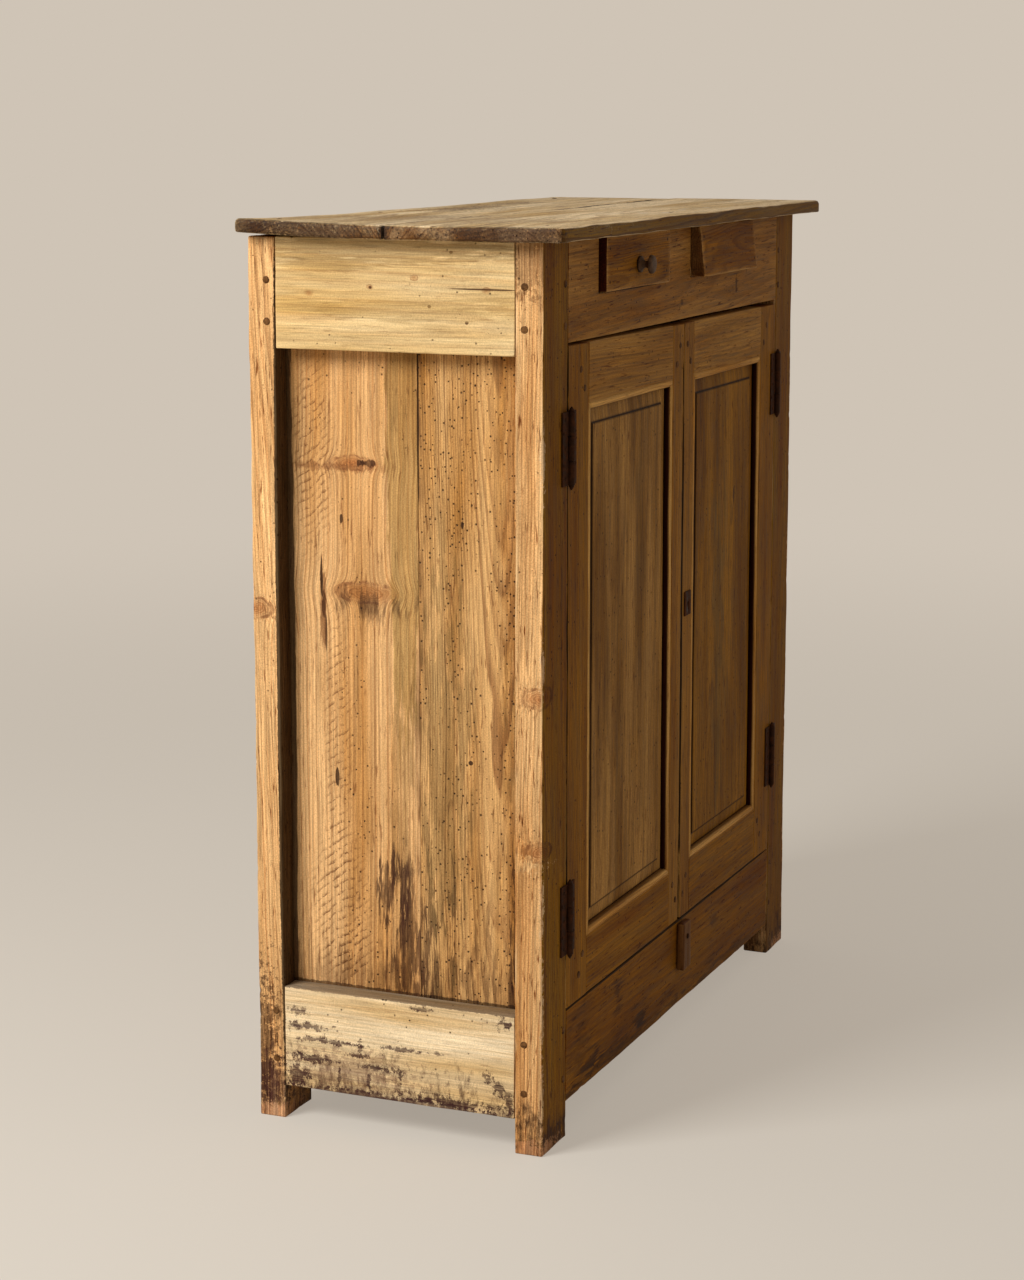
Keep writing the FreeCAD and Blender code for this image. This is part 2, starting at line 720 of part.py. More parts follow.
def raised_panel(hand, opening):
    """A board with a thin edge for the groove, a bevelled margin and a raised field."""
    x, _, z = opening
    by = "groove_deep - fit * 4"
    slab_y = ("front + tenon_inset + fit", "front + panel_back - fit")
    slab = box(f"door_{hand}_slab", HANDS[hand]([*grown([x], by), slab_y, *grown([z], by)]))
    crest, field_y = "-field_margin", ("front + field_below", "front + tenon_inset + overcut")
    field = box(f"door_{hand}_field", HANDS[hand]([*grown([x], crest), field_y, *grown([z], crest)]))
    bevel = doc.addObject("Part::Wedge", f"door_{hand}_bevel")
    wide, high = f"({x[1]}) - ({x[0]})", f"({z[1]}) - ({z[0]})"
    bind(bevel, Ymin="0", Ymax="tenon_inset + fit - field_below - field_step",
         X2min="bevel_foot", X2max=f"{wide} - bevel_foot",
         Z2min="bevel_foot", Z2max=f"{high} - bevel_foot",
         Xmin="field_margin", Xmax=f"{wide} - field_margin",
         Zmin="field_margin", Zmax=f"{high} - field_margin")
    put(bevel, HANDS[hand]([x, x, x])[0][0], "front + field_below + field_step", z[0])
    return joined(f"door_{hand}_panel_solid", slab, bevel, field)


key_x = "case_x + case_wide / 2"
keyhole = rod("keyhole_round", (key_x, "front - overcut", "lock_z"), "y", "keyhole", LOCK_HOLE_LONG)
keyway = box("keyhole_slot", [*grown([(key_x, key_x)], "keyhole / 2"), through_board,
                              ("lock_z - keyhole_slot", "lock_z")])
key_path = joined("key_path", keyhole, keyway)
for hand, turn in HANDS.items():
    members, tenons, opening = door_blocks(hand)
    made, holes = pegs(f"door_{hand}_pegs", door_peg_spots(hand, opening), "board")
    groove_block = [*grown([opening[0]], "groove_deep"), tongue_y, *grown([opening[2]], "groove_deep")]
    groove = box(f"door_{hand}_groove", turn(groove_block))
    mortises = [box(f"door_{hand}_{name}_mortise", turn(grown(block, "fit")))
                for name, block in tenons.items()]
    for name, block in members.items():
        member = box(f"door_{hand}_{name}_blank", turn(block))
        tools = [holes]
        if name in tenons:
            tenon = box(f"door_{hand}_{name}_tenons", turn(tenons[name]))
            member = joined(f"door_{hand}_{name}_tenoned", cut(member, groove), tenon)
        else:
            tools += [groove] + mortises
        if hand == "right" and name == "meeting_stile":
            tools += [key_path]
        node(cut(member, *tools), f"door_{hand}_{name}")
    node(raised_panel(hand, opening), f"door_{hand}_panel")
    node(moulding_ring(hand, opening), f"door_{hand}_mouldings")
    node(made, f"door_{hand}_pegs")
    node(group(f"door_{hand}_hinge_leaves", door_leaves[hand]), f"door_{hand}_hinge_leaves")

# Escutcheon: a bevelled iron plate round the keyhole
plate, plate_pad = padded("escutcheon_body", "plate_wide", "plate_high", "plate_thick")
plate_rim = edges_of(plate_pad, lambda edge: edge.BoundBox.ZMin > value("plate_thick") - TINY)
softened(plate, "Chamfer", "escutcheon_bevel", plate_rim, Size="plate_bevel")
plate.Placement = Placement(Vector(), Rotation(Vector(1, 0, 0), 90))
put(plate, "case_x + (case_wide - plate_wide) / 2", "front", "lock_z - plate_high / 2")
node(cut(plate, key_path), "escutcheon")

# Lock: an iron case behind the meeting stile, and the bolt that slides out of it
case_y = ("board_back", "board_back + case_deep")
case = box("lock_case_blank", [("case_x", "case_x + case_wide"), case_y, ("case_z", "case_z + case_high")])
hollow = box("lock_hollow", [("case_x + case_wall", "case_x + case_wide - case_wall"),
                             ("board_back - overcut", "board_back + case_deep - case_wall"),
                             ("case_z + case_wall", "case_z + case_high - case_wall")])
bolt_middle = "board_back + case_deep / 2 - fit"
bolt_block = [("case_x", "case_x + bolt_long"), *grown([(bolt_middle, bolt_middle)], "bolt_thick / 2"),
              ("lock_z + keyhole * 2", "lock_z + keyhole * 2 + bolt_high")]
bolt_way = box("lock_bolt_way", [("case_x - overcut", "case_x + case_wall + overcut"),
                                 *grown(bolt_block[1:], "fit * 2")])
node(cut(case, hollow, bolt_way), "lock_case")
node(box("lock_bolt_bar", bolt_block), "lock_bolt")

# Drawers: a front with rebated ends, two sides, a back between them and a bottom in grooves
TO_LENGTH = Rotation(Vector(1, 1, 1), 120)


def slanted(name, block, rake, far_rake):
    """A block whose front and far ends lean back by a rake over the drawer's height."""
    x, y, z = block
    piece = doc.addObject("Part::Wedge", name)
    high, wide, long = (f"({end}) - ({start})" for start, end in (z, x, y))
    lean, far_lean = (f"({amount}) * ({high}) / drawer_high" for amount in (rake, far_rake))
    bind(piece, Xmin="0", Xmax=long, Zmin="0", Zmax=wide, Ymin="0", Ymax=high,
         X2min=lean, X2max=f"{long} + {far_lean}", Z2min="0", Z2max=wide)
    piece.Placement = Placement(Vector(), TO_LENGTH)
    return put(piece, x[0], y[0], z[0])


DRAWERS = {
    "left": ("drawer_left_x", "drawer_left_proud", "0"),
    "right": ("drawer_right_x", "drawer_right_proud", "drawer_rake"),
}
for hand, (x, proud, rake) in DRAWERS.items():
    face = f"front - {proud}"
    inside = f"{face} + drawer_front_thick"
    end = f"{face} + drawer_long"
    low, side_top = "drawer_z", "drawer_z + drawer_side_high"
    front_board = slanted(f"drawer_{hand}_front_blank", [(x, f"{x} + drawer_wide"), (face, inside),
                                                        (low, "drawer_z + drawer_high")], rake, rake)
    sides = []
    for start in (x, f"{x} + drawer_wide - drawer_board"):
        sides.append(slanted(f"drawer_{hand}_side_{len(sides)}", [(start, f"{start} + drawer_board"),
                             (f"{face} + drawer_front_thick / 2", end), (low, side_top)], rake, "0"))
    bottom_z = ("drawer_z + drawer_bottom_thick", "drawer_z + drawer_bottom_thick * 2")
    housed_x = (f"{x} + drawer_board / 2", f"{x} + drawer_wide - drawer_board / 2")
    bottom_y = (f"{inside} - drawer_board / 3", f"{end} - fit")
    bottom = box(f"drawer_{hand}_bottom_board", [housed_x, bottom_y, bottom_z])
    back_y = (f"{end} - drawer_board * 2", f"{end} - drawer_board")
    back_board = box(f"drawer_{hand}_back_board", [housed_x, back_y, (bottom_z[1], side_top)])
    side_pair = group(f"drawer_{hand}_side_pair", sides)
    node(cut(front_board, side_pair, bottom), f"drawer_{hand}_front")
    node(cut(side_pair, bottom, back_board), f"drawer_{hand}_sides")
    node(back_board, f"drawer_{hand}_back")
    node(bottom, f"drawer_{hand}_bottom")

# Knob of the left drawer: turned, with a base, a neck and a waisted head
knob = doc.addObject("PartDesign::Body", "drawer_knob_body")
outline = sketch_on(knob, "XZ_Plane", "drawer_knob_outline")
base, neck, head, long = (value("knob_" + part) for part in ("base", "neck", "head", "long"))
# The section: a radius, and a share of the length, for base, waist in four straight cuts, rim and flat face
KNOB_SECTION = ((0, 0), (base, 0), (base, 0.14), (1.5 * neck, 0.26), (neck, 0.42), (1.5 * neck, 0.6),
                (head, 0.76), (head, 0.9), (0.85 * head, 1), (0, 1))
section = [(radius, share * long) for radius, share in KNOB_SECTION]
for start, end in zip(section, section[1:] + section[:1]):
    outline.addGeometry(Part.LineSegment(Vector(*start), Vector(*end)))
turned = knob.newObject("PartDesign::Revolution", "drawer_knob_turned")
turned.Profile = outline
turned.ReferenceAxis = (outline, ["V_Axis"])
turned.Angle = 360
doc.recompute()
knob.Placement = Placement(Vector(), Rotation(Vector(1, 0, 0), 90))
put(knob, "drawer_left_x + drawer_wide / 2", "front - drawer_left_proud", "knob_z")
node(knob, "drawer_knob")

# Turn button and its nail
button, button_pad = padded("turn_button_body", "button_wide", "button_high", "button_thick")
button_rim = edges_of(button_pad, lambda edge: edge.BoundBox.ZMin > value("button_thick") - TINY)
softened(button, "Fillet", "turn_button_round", button_rim, Radius="button_round")
button.Placement = Placement(Vector(), Rotation(Vector(1, 0, 0), 90))
put(button, "button_x - button_wide / 2", "front - button_clear", "button_low")
button_bore = rod("button_bore", ("button_x", "button_y - overcut", "button_z"), "y", "button_nail + fit * 2",
                  "button_thick + 2 * overcut")
node(cut(button, button_bore), "turn_button")
nail_start = ("button_x", "button_y - fit * 2", "button_z")
nail_shank = rod("button_nail_shank", nail_start, "y", "button_nail", "button_thick + board / 2")
nail_head = doc.addObject("Part::Cone", "button_nail_head")
bind(nail_head, Radius1="button_nail", Radius2="button_nail * 2", Height="button_nail")
nail_head.Placement = Placement(Vector(), Rotation(Vector(1, 0, 0), 90))
put(nail_head, *nail_start)
node(joined("button_nail_whole", nail_shank, nail_head), "turn_button_nail")

doc.recompute()

# Check the document, then write each sub-part
failed = [item.Name for item in doc.Objects if {"Invalid", "Error"} & set(item.State)]
failed += [piece.Label for piece in NODES if piece.Shape.isNull() or not piece.Shape.isValid()]
if failed:
    raise RuntimeError("failed objects: " + ", ".join(failed))
os.makedirs("parts", exist_ok=True)
for piece in NODES:
    piece.Shape.exportStep(f"parts/{piece.Label}.step")
print(len(NODES), "sub-parts written")
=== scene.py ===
import json
import math
from functools import partial

import bpy
import numpy as np
from mathutils import Matrix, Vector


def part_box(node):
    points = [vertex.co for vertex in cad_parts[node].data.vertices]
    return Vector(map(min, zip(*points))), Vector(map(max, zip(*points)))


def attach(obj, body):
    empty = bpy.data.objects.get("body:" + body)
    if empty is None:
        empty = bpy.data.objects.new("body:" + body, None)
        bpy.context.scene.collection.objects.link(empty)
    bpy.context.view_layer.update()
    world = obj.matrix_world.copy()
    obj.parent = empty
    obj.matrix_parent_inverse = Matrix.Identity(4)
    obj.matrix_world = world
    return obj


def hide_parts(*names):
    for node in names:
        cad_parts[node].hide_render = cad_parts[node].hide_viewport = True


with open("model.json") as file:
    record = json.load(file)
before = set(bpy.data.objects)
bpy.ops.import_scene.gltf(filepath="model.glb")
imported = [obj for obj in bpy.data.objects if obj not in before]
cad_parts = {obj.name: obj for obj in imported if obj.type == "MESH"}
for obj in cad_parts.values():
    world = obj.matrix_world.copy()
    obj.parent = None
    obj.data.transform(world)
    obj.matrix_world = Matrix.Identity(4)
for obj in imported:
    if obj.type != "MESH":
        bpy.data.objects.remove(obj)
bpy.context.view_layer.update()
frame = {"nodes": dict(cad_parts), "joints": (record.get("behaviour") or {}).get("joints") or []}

# Posts: four lengths of sawn pine, morticed for every rail; their lower ends are the feet.
# They were planed by hand and then knocked and handled for generations, so each arris is
# rubbed round. The front faces are darker: partly a patina of wax and smoke, partly painted shade.
MM = 0.001
X, Y, Z = range(3)
# Nearer than this counts as the same place
FLUSH = 0.01 * MM
# Settings of a Mix node that blends two colours, and of one that multiplies them
RGBA = {"out": 2, "data_type": "RGBA"}
TINT = {**RGBA, "blend_type": "MULTIPLY"}


def linear(written):
    """A written sRGB colour as linear light: each channel past the toe is raised to the power 2.4."""
    channels = np.array([int(written[i:i + 2], 16) for i in (1, 3, 5)]) / 255
    return (*np.where(channels > 0.04045, ((channels + 0.055) / 1.055) ** 2.4, channels / 12.92), 1.0)


def wire(tree, kind, inputs, out=0, **fields):
    """Add a shader node: inputs give its sockets a value or a link, by name or in their order, fields set its
    options, and out picks its result."""
    made = tree.nodes.new("ShaderNode" + kind)
    for field, value in fields.items():
        setattr(made, field, value)
    for socket, value in inputs.items() if isinstance(inputs, dict) else enumerate(inputs):
        if isinstance(value, bpy.types.NodeSocket):
            tree.links.new(value, made.inputs[socket])
        else:
            made.inputs[socket].default_value = value
    return made.outputs[out] if made.outputs else made


def bare(holder):
    """Empty the node tree of a material or world, and give back what adds nodes to it."""
    holder.use_nodes = True
    holder.node_tree.nodes.clear()
    return partial(wire, holder.node_tree)


def ripple(points, wave, seed):
    """A wandering value near -1 to 1: seven sines added up, in random directions, with lengths near wave."""
    draw = np.random.default_rng(seed)
    ways = draw.normal(size=(7, 3))
    ways *= 2 * np.pi / wave * draw.uniform(0.6, 1.7, (7, 1)) / np.linalg.norm(ways, axis=1, keepdims=True)
    return np.sin(points @ ways.T + draw.uniform(0, 2 * np.pi, 7)).sum(1) / 7 ** 0.5


def grid_lines(low, high, band, cell, extra):
    """Places of the grid along one side: four close steps at both ends, even cells between, extra ones."""
    rim = band * np.linspace(0, 1, 5)
    count = max(1, round((high - low - 2 * band) / cell))
    lines = [low + rim, np.linspace(low + band, high - band, count + 1), high - rim, extra]
    lines = np.sort(np.concatenate(lines))
    return lines[np.concatenate([[True], np.diff(lines) > 2 * FLUSH])]


def cut_from_log(places, middle, size, grain, seed, pith):
    """Where in its tree each point grew: across the wide side, across the thin side and along the grain,
    measured from the pith, with a slight lean, so that the rings run out of the face."""
    draw = np.random.default_rng(seed)
    thin, wide = sorted((axis for axis in range(3) if axis != grain), key=lambda axis: size[axis])
    drawn = (draw.uniform(70, 150) * draw.choice([-1, 1]), draw.uniform(15, 60))
    pith = np.array(drawn if pith is None else pith) * MM
    lean = draw.uniform(-0.03, 0.03, 2)
    local = places - middle
    along = local[:, grain]
    return np.stack([local[:, wide] + pith[0] + lean[0] * along, local[:, thin] + pith[1] + lean[1] * along,
                     along + draw.uniform(0, 20)], 1)


RUB_WAVE, SWAY_WAVE, EDGE_WORN = 80 * MM, 300 * MM, 5 * MM


def board(low, high, grain, seed, arris=1.6 * MM, cell=13 * MM, pith=None, patina=(0, 0), sway=0.35 * MM,
          notches=(), extra=((), (), ()), dents=1.5):
    """A board as the outside of a lattice of cells, less its notches. A whole board has rubbed edges: each
    point goes to the nearest place in the box shrunk by the arris radius, then outwards by that radius, which
    wanders along the edge. All points then sway a little, as planed wood does. Its wear holds how near to
    an edge a point is, whether it is end grain, and its patina (elsewhere, on the front face); on the front
    face that darkening is partly aged patina, partly painted shade."""
    low, high = np.array(low, float), np.array(high, float)
    size = high - low
    band = min(2.4 * arris, 0.35 * size.min())
    lines = [grid_lines(low[axis], high[axis], band, cell, np.array(extra[axis])) for axis in range(3)]
    counts = [len(line) for line in lines]
    solid = np.ones([count - 1 for count in counts], bool)
    middles = np.meshgrid(*[(line[1:] + line[:-1]) / 2 for line in lines], indexing="ij")
    for notch_low, notch_high in notches:
        solid &= ~np.all([(m > a) & (m < b) for m, a, b in zip(middles, notch_low, notch_high)], axis=0)
    quads = []
    for axis in range(3):
        walls = np.diff(np.pad(solid, [(int(k == axis),) * 2 for k in range(3)]).astype(int), axis=axis)
        first, second = np.eye(3, dtype=int)[[(axis + 1) % 3, (axis + 2) % 3]]
        for way in (1, -1):
            cells = np.argwhere(walls == way)
            ring = (0 * first, first, first + second, second)[::-way]
            quads.append(np.stack([np.ravel_multi_index((cells + step).T, counts) for step in ring], 1))
    ids, quads = np.unique(np.concatenate(quads), return_inverse=True)
    spots = np.unravel_index(ids, counts)
    sharp = np.stack([line[spot] for line, spot in zip(lines, spots)], 1)
    rub = 1 + 0.45 * ripple(sharp, RUB_WAVE, seed)
    rub = rub + dents * np.maximum(ripple(sharp, 3 * cell, seed + 1) - 0.9, 0)
    radius = np.clip(arris * rub, 0.3 * arris, band)[:, None] if not notches else FLUSH
    inner = np.clip(sharp, low + radius, high - radius)
    outward = sharp - inner
    reach = np.maximum(np.linalg.norm(outward, axis=1, keepdims=True), 1e-9)
    points = inner + radius * outward / reach if not notches else sharp.copy()
    points += sway * np.stack([ripple(sharp, SWAY_WAVE, seed + 2 + axis) for axis in range(3)], 1)
    depths = np.minimum(sharp - low, high - sharp)
    edge = np.clip(1 - np.sort(depths, axis=1)[:, 1] / EDGE_WORN, 0, 1)
    end = (depths[:, grain] < FLUSH).astype(float)
    front = np.where(sharp[:, Y] - low[Y] < FLUSH, patina[1], patina[0])
    return {"points": points, "faces": [quads.reshape(-1, 4)], "sharp": sharp,
            "wear": np.stack([edge, end, front], 1),
            "log": cut_from_log(sharp, (low + high) / 2, size, grain, seed + 9, pith)}


def piece(name, parts, material, body, arris=0.0):
    """One object of closed surfaces, stacked: points, faces, and each point's place in its log and its wear,
    which also carries painted shade. It rides on its body, and replaces the CAD node that it is named for, if
    there is one. An arris above 0 rounds what is still sharp."""
    starts = np.cumsum([0] + [len(part["points"]) for part in parts])
    faces = [face for start, part in zip(starts, parts) for block in part["faces"]
             for face in (block + start).tolist()]
    drawn = name in frame["nodes"]
    mesh = bpy.data.meshes.new("worn_" + name if drawn else name)
    mesh.from_pydata(np.concatenate([part["points"] for part in parts]), [], faces)
    for field in ("log", "wear"):
        values = np.concatenate([part[field] for part in parts]).astype(np.float32)
        mesh.attributes.new(field, "FLOAT_VECTOR", "POINT").data.foreach_set("vector", values.ravel())
    mesh.shade_smooth()
    mesh.materials.append(material)
    made = bpy.data.objects.new(mesh.name, mesh)
    bpy.context.scene.collection.objects.link(made)
    if arris:
        bevel = made.modifiers.new("arris", "BEVEL")
        bevel.width = arris
        bevel.segments = 2
        bevel.limit_method = "ANGLE"
        bevel.harden_normals = True
    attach(made, body)
    if drawn:
        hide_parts(name)


# A knot has 5 rings and bends the grain by 0.3 of its half size, less with distance to the power 2.2;
# the saw's strokes lie 9 mm apart on a slant, and swing by up to 2.5 strokes
KNOT_YEARS, KNOT_PUSH, KNOT_FADE = 5.0, 0.3, -2.2
SAW_WAY, SAW_STEP, SAW_SWING = np.array((0, 0.66, 0.75)), 9 * MM, 2.5
# Grain noises, per metre across and along the grain, with detail and roughness: rings drift over 125 mm,
# patches are 45 mm wide, fibres 2 mm, streaks 9 mm, pores 2.4 mm wide and 26 mm long, torn fibres 3.3 mm
FLECK = (110, 110, 16)
GRAIN = {"drift": (8, 1.3, 3, 0.5), "patch": (22, 2.2, 3, 0.5), "fibre": (520, 9, 3, 0.5),
         "streak": (110, 3.5, 4, 0.6), "pore": (420, 38, 1, 0.5), "bristle": (300, 22, 5, 0.7)}


def pine(name, early, late, aged, ring, line=0.75, worm=0.3, patina="#c8b884", rubbed="#e4bf8c",
         end="#b08a66", soaked=0.6, wander=50 * MM, dirt=0.5, grit=1.0, streaks=0.3, gloss=0.12,
         crumbly=False, knots=(), stains=(), sawn=(), grime=None):
    """Aged pine, hand planed: pale spring wood that darkens through each year to a sharp brown line, long
    fibres and dark pores, worm holes 1 to 2 mm wide, rubbed arrises, and end grain that drank dirt: soaked
    is its least share, and it is whole in patches about 35 mm wide. On the door panels and mouldings the end
    grain's place carries painted shade of their recesses, in the colour end. Patina is multiplied in as each
    point's wear gives it; on the front faces it is partly aged patina, partly painted shade. Rings are the
    distance from the pith over the ring width. A knot is (middle, half sizes, axis across the grain,
    darkness): the grain bends round it as a stream round a post, and its own rings fill it. Stains are
    (middle, half sizes, colour, amount, raggedness), torn along the fibres, or in crumbs; some of them are
    painted shade, noted where they are listed. Saw marks are (middle, half sizes, amount), and grime is
    (height where it starts, height where it is full, colour, amount). Bare old wood hardly shines, so its
    gloss is low."""
    material = bpy.data.materials.new(name)
    add = bare(material)
    place = add("TexCoord", (), out="Object")
    log, wear = [add("Attribute", (), out="Vector", attribute_name=kept) for kept in ("log", "wear")]
    edge, end_grain_and_shade, front = add("SeparateXYZ", (wear,)).node.outputs
    short = add("VectorMath", (log, FLECK), operation="MULTIPLY")
    fleck = add("TexNoise", {"Vector": short, "Scale": 1, "Detail": 2})
    shake = add("VectorMath", (fleck.node.outputs["Color"], (0.5,) * 3), operation="SUBTRACT")
    loose, nearly = [add("VectorMath", (shake, (far,) * 3, place), operation="MULTIPLY_ADD")
                     for far in (9 * MM, 5 * MM)]
    flow, eyes = log, []
    for middle, size, axis, dark in knots:
        near = add("Mapping", {"Vector": loose, "Location": middle, "Scale": size}, vector_type="TEXTURE")
        far = add("VectorMath", (near,), out="Value", operation="LENGTH")
        bend = add("Math", (far, 1.0), operation="MAXIMUM")
        bend = add("Math", (bend, KNOT_FADE), operation="POWER")
        push = np.eye(3)[axis] * size[axis] * KNOT_PUSH
        reach = add("VectorMath", (near, push), out="Value", operation="DOT_PRODUCT")
        bend = add("Math", (reach, bend), operation="MULTIPLY")
        flow = add("VectorMath", (flow, add("CombineXYZ", (bend,))), operation="SUBTRACT")
        eyes.append((far, dark))
    noise = {}
    for kind, (across, along, detail, rough) in GRAIN.items():
        drawn = add("VectorMath", (flow, (across, across, along)), operation="MULTIPLY")
        noise[kind] = add("TexNoise", {"Vector": drawn, "Scale": 1, "Detail": detail, "Roughness": rough})
    fibre, bristle = noise["fibre"], noise["bristle"]

    # Rings, and those of the knots inside them
    drift = add("VectorMath", (noise["drift"].node.outputs["Color"], (0.5,) * 3), operation="SUBTRACT")
    bent = add("VectorMath", (drift, (wander,) * 3, flow), operation="MULTIPLY_ADD")
    bent = add("VectorMath", (bent, (1, 1, 0)), operation="MULTIPLY")
    radius = add("VectorMath", (bent,), out="Value", operation="LENGTH")
    age = add("Math", (radius, 1 / ring), operation="MULTIPLY")
    for far, dark in eyes:
        branch = add("Math", (far, KNOT_YEARS), operation="MULTIPLY")
        inside = add("MapRange", (far, 1.05, 0.9))
        age = add("Mix", {0: inside, 2: age, 3: branch})
    year = add("Math", (age,), operation="FRACT")
    rise = add("MapRange", (year, 0.2, 0.88), interpolation_type="SMOOTHSTEP")
    fall = add("MapRange", (year, 1.0, 0.9))
    late_wood = add("Math", (rise, fall), operation="MULTIPLY")
    each = add("TexNoise", {"W": age, "Scale": 0.6, "Detail": 1}, noise_dimensions="1D")
    each = add("MapRange", (each, 0.3, 0.7, 0.25 * line, line))
    late_wood = add("Math", (late_wood, each), operation="MULTIPLY")
    colour = add("Mix", {0: late_wood, 6: linear(early), 7: linear(late)}, **RGBA)

    # Aged patches, fibres, grit, streaks and pores
    tone = add("MapRange", (noise["patch"], 0.38, 0.66))
    colour = add("Mix", {0: tone, 6: colour, 7: linear(aged)}, **TINT)
    shade = add("MapRange", (fibre, 0.3, 0.7, 1 - 0.26 * grit, 1 + 0.16 * grit))
    speck = add("TexNoise", {"Vector": place, "Scale": 1 / (1.8 * MM), "Detail": 2})
    speck = add("MapRange", (speck, 0.3, 0.7, 1 - 0.16 * grit, 1 + 0.12 * grit))
    streak = add("MapRange", (noise["streak"], 0.34, 0.66, 1 - 0.4 * streaks, 1 + 0.3 * streaks))
    for part in (speck, streak):
        shade = add("Math", (shade, part), operation="MULTIPLY")
    colour = add("Mix", {0: 1.0, 6: colour, 7: shade}, **TINT)
    pore = add("MapRange", (noise["pore"], 0.62, 0.74, 0, dirt))
    colour = add("Mix", {0: pore, 6: colour, 7: linear("#8f6742")}, **TINT)
    grain = add("VectorMath", (colour, linear(early)[:3]), operation="DIVIDE")
    for far, dark in eyes:
        core = add("MapRange", (far, 1.4, 0.2, 0, dark))
        colour = add("Mix", {0: core, 6: colour, 7: linear("#bd8a63")}, **TINT)
        bark = add("Math", (far, 1.0, 0.14), operation="COMPARE")
        flaky = add("MapRange", (fleck, 0.4, 0.6, 0, dark))
        bark = add("Math", (bark, flaky), operation="MULTIPLY")
        colour = add("Mix", {0: bark, 6: colour, 7: linear("#7a4a2a")}, **RGBA)

    # End grain, which on the door panels and mouldings is painted shade of their recesses; rubbed
    # arrises; and patina, which on the front faces is partly painted shade
    soak = add("TexNoise", {"Vector": place, "Scale": 1 / (35 * MM), "Detail": 4})
    soak = add("MapRange", (soak, 0.4, 0.58, soaked))
    soak = add("Math", (soak, end_grain_and_shade), operation="MULTIPLY")
    colour = add("Mix", {0: soak, 6: colour, 7: linear(end)}, **TINT)
    rub = add("MapRange", (fleck, 0.42, 0.62, 0, 0.8))
    for part in (edge, add("Math", (1.0, end_grain_and_shade), operation="SUBTRACT")):
        rub = add("Math", (rub, part), operation="MULTIPLY")
    colour = add("Mix", {0: rub, 6: colour, 7: linear(rubbed)}, **RGBA)
    colour = add("Mix", {0: front, 6: colour, 7: linear(patina)}, **TINT)
    height = add("Math", (late_wood, 0.4, fibre), operation="MULTIPLY_ADD")

    # Saw marks, grime near the floor, and stains
    crumb = add("TexNoise", {"Vector": place, "Scale": 1 / (8 * MM), "Detail": 8, "Roughness": 0.78})
    torn = add("Math", (crumb, crumb) if crumbly else (bristle, fleck), operation="ADD")
    for middle, size, amount in sawn:
        near = add("Mapping", {"Vector": loose, "Location": middle, "Scale": size}, vector_type="TEXTURE")
        far = add("VectorMath", (near,), out="Value", operation="LENGTH")
        there = add("MapRange", (far, 1.1, 0.6, 0, amount))
        strokes = add("VectorMath", (nearly, SAW_WAY / SAW_STEP), out="Value", operation="DOT_PRODUCT")
        strokes = add("Math", (noise["patch"], SAW_SWING, strokes), operation="MULTIPLY_ADD")
        strokes = add("Math", (strokes,), operation="FRACT")
        strokes = add("MapRange", (strokes, 0.45, 0.0))
        for part in (there, add("MapRange", (crumb, 0.47, 0.56))):
            strokes = add("Math", (strokes, part), operation="MULTIPLY")
        colour = add("Mix", {0: strokes, 6: colour, 7: linear("#6b4020")}, **RGBA)
        height = add("Math", (strokes, -0.8, height), operation="MULTIPLY_ADD")
    if grime:
        start, full, darkening, amount = grime
        swept = add("VectorMath", (place, (1.3, 1.3, 0.5)), operation="MULTIPLY")
        blot = add("TexNoise", {"Vector": swept, "Scale": 1 / (20 * MM), "Detail": 10, "Roughness": 0.8})
        low_down = add("MapRange", (add("SeparateXYZ", (place,), out="Z"), start, full))
        blot = add("Math", (blot, 3.4, -1.7), operation="MULTIPLY_ADD")
        low_down = add("Math", (low_down, blot), operation="ADD")
        mask = add("MapRange", (low_down, 0.42, 0.86, 0, amount))
        soiled = add("VectorMath", (grain, linear(darkening)[:3]), operation="MULTIPLY")
        colour = add("Mix", {0: mask, 6: colour, 7: soiled}, **RGBA)
    for middle, size, stain, amount, ragged in stains:
        near = add("Mapping", {"Vector": place, "Location": middle, "Scale": size}, vector_type="TEXTURE")
        far = add("VectorMath", (near,), out="Value", operation="LENGTH")
        inside = add("Math", (torn, 2 * ragged, 1 - 2 * ragged), operation="MULTIPLY_ADD")
        inside = add("Math", (inside, far), operation="SUBTRACT")
        mask = add("MapRange", (inside, 0.0, 0.1 + 0.09 * min(ragged, 3), 0, amount))
        through = add("MapRange", (bristle, 0.62, 0.42, 1 - 0.24 * min(ragged, 2)))
        mask = add("Math", (mask, through), operation="MULTIPLY")
        soiled = add("VectorMath", (grain, linear(stain)[:3]), operation="MULTIPLY")
        colour = add("Mix", {0: mask, 6: colour, 7: soiled}, **RGBA)
    if worm:
        cells = add("TexVoronoi", {"Vector": place, "Scale": 1 / (6.5 * MM)})
        chance, width, _ = add("SeparateXYZ", (cells.node.outputs["Color"],)).node.outputs
        wide = add("MapRange", {"Value": width, "To Min": 0.15, "To Max": 0.33})
        hole = add("MapRange", (cells, wide, 0.1))
        bored = add("MapRange", (noise["patch"], 0.25, 0.6, 0, worm))
        bored = add("Math", (chance, bored), operation="LESS_THAN")
        hole = add("Math", (hole, bored), operation="MULTIPLY")
        colour = add("Mix", {0: hole, 6: colour, 7: linear("#2c1a0c")}, **RGBA)
        height = add("Math", (hole, -2.0, height), operation="MULTIPLY_ADD")
    rough = add("MapRange", (fibre, 0.3, 0.7, 0.5, 0.72))
    bump = add("Bump", {"Strength": 0.7, "Distance": 0.6 * MM, "Height": height})
    shader = add("BsdfPrincipled", {"Base Color": colour, "Roughness": rough, "Specular IOR Level": gloss,
                                    "Normal": bump})
    add("OutputMaterial", {"Surface": shader})
    return material


def span(node):
    """A CAD node's lowest and highest corner."""
    return [np.array(corner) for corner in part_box(node)]


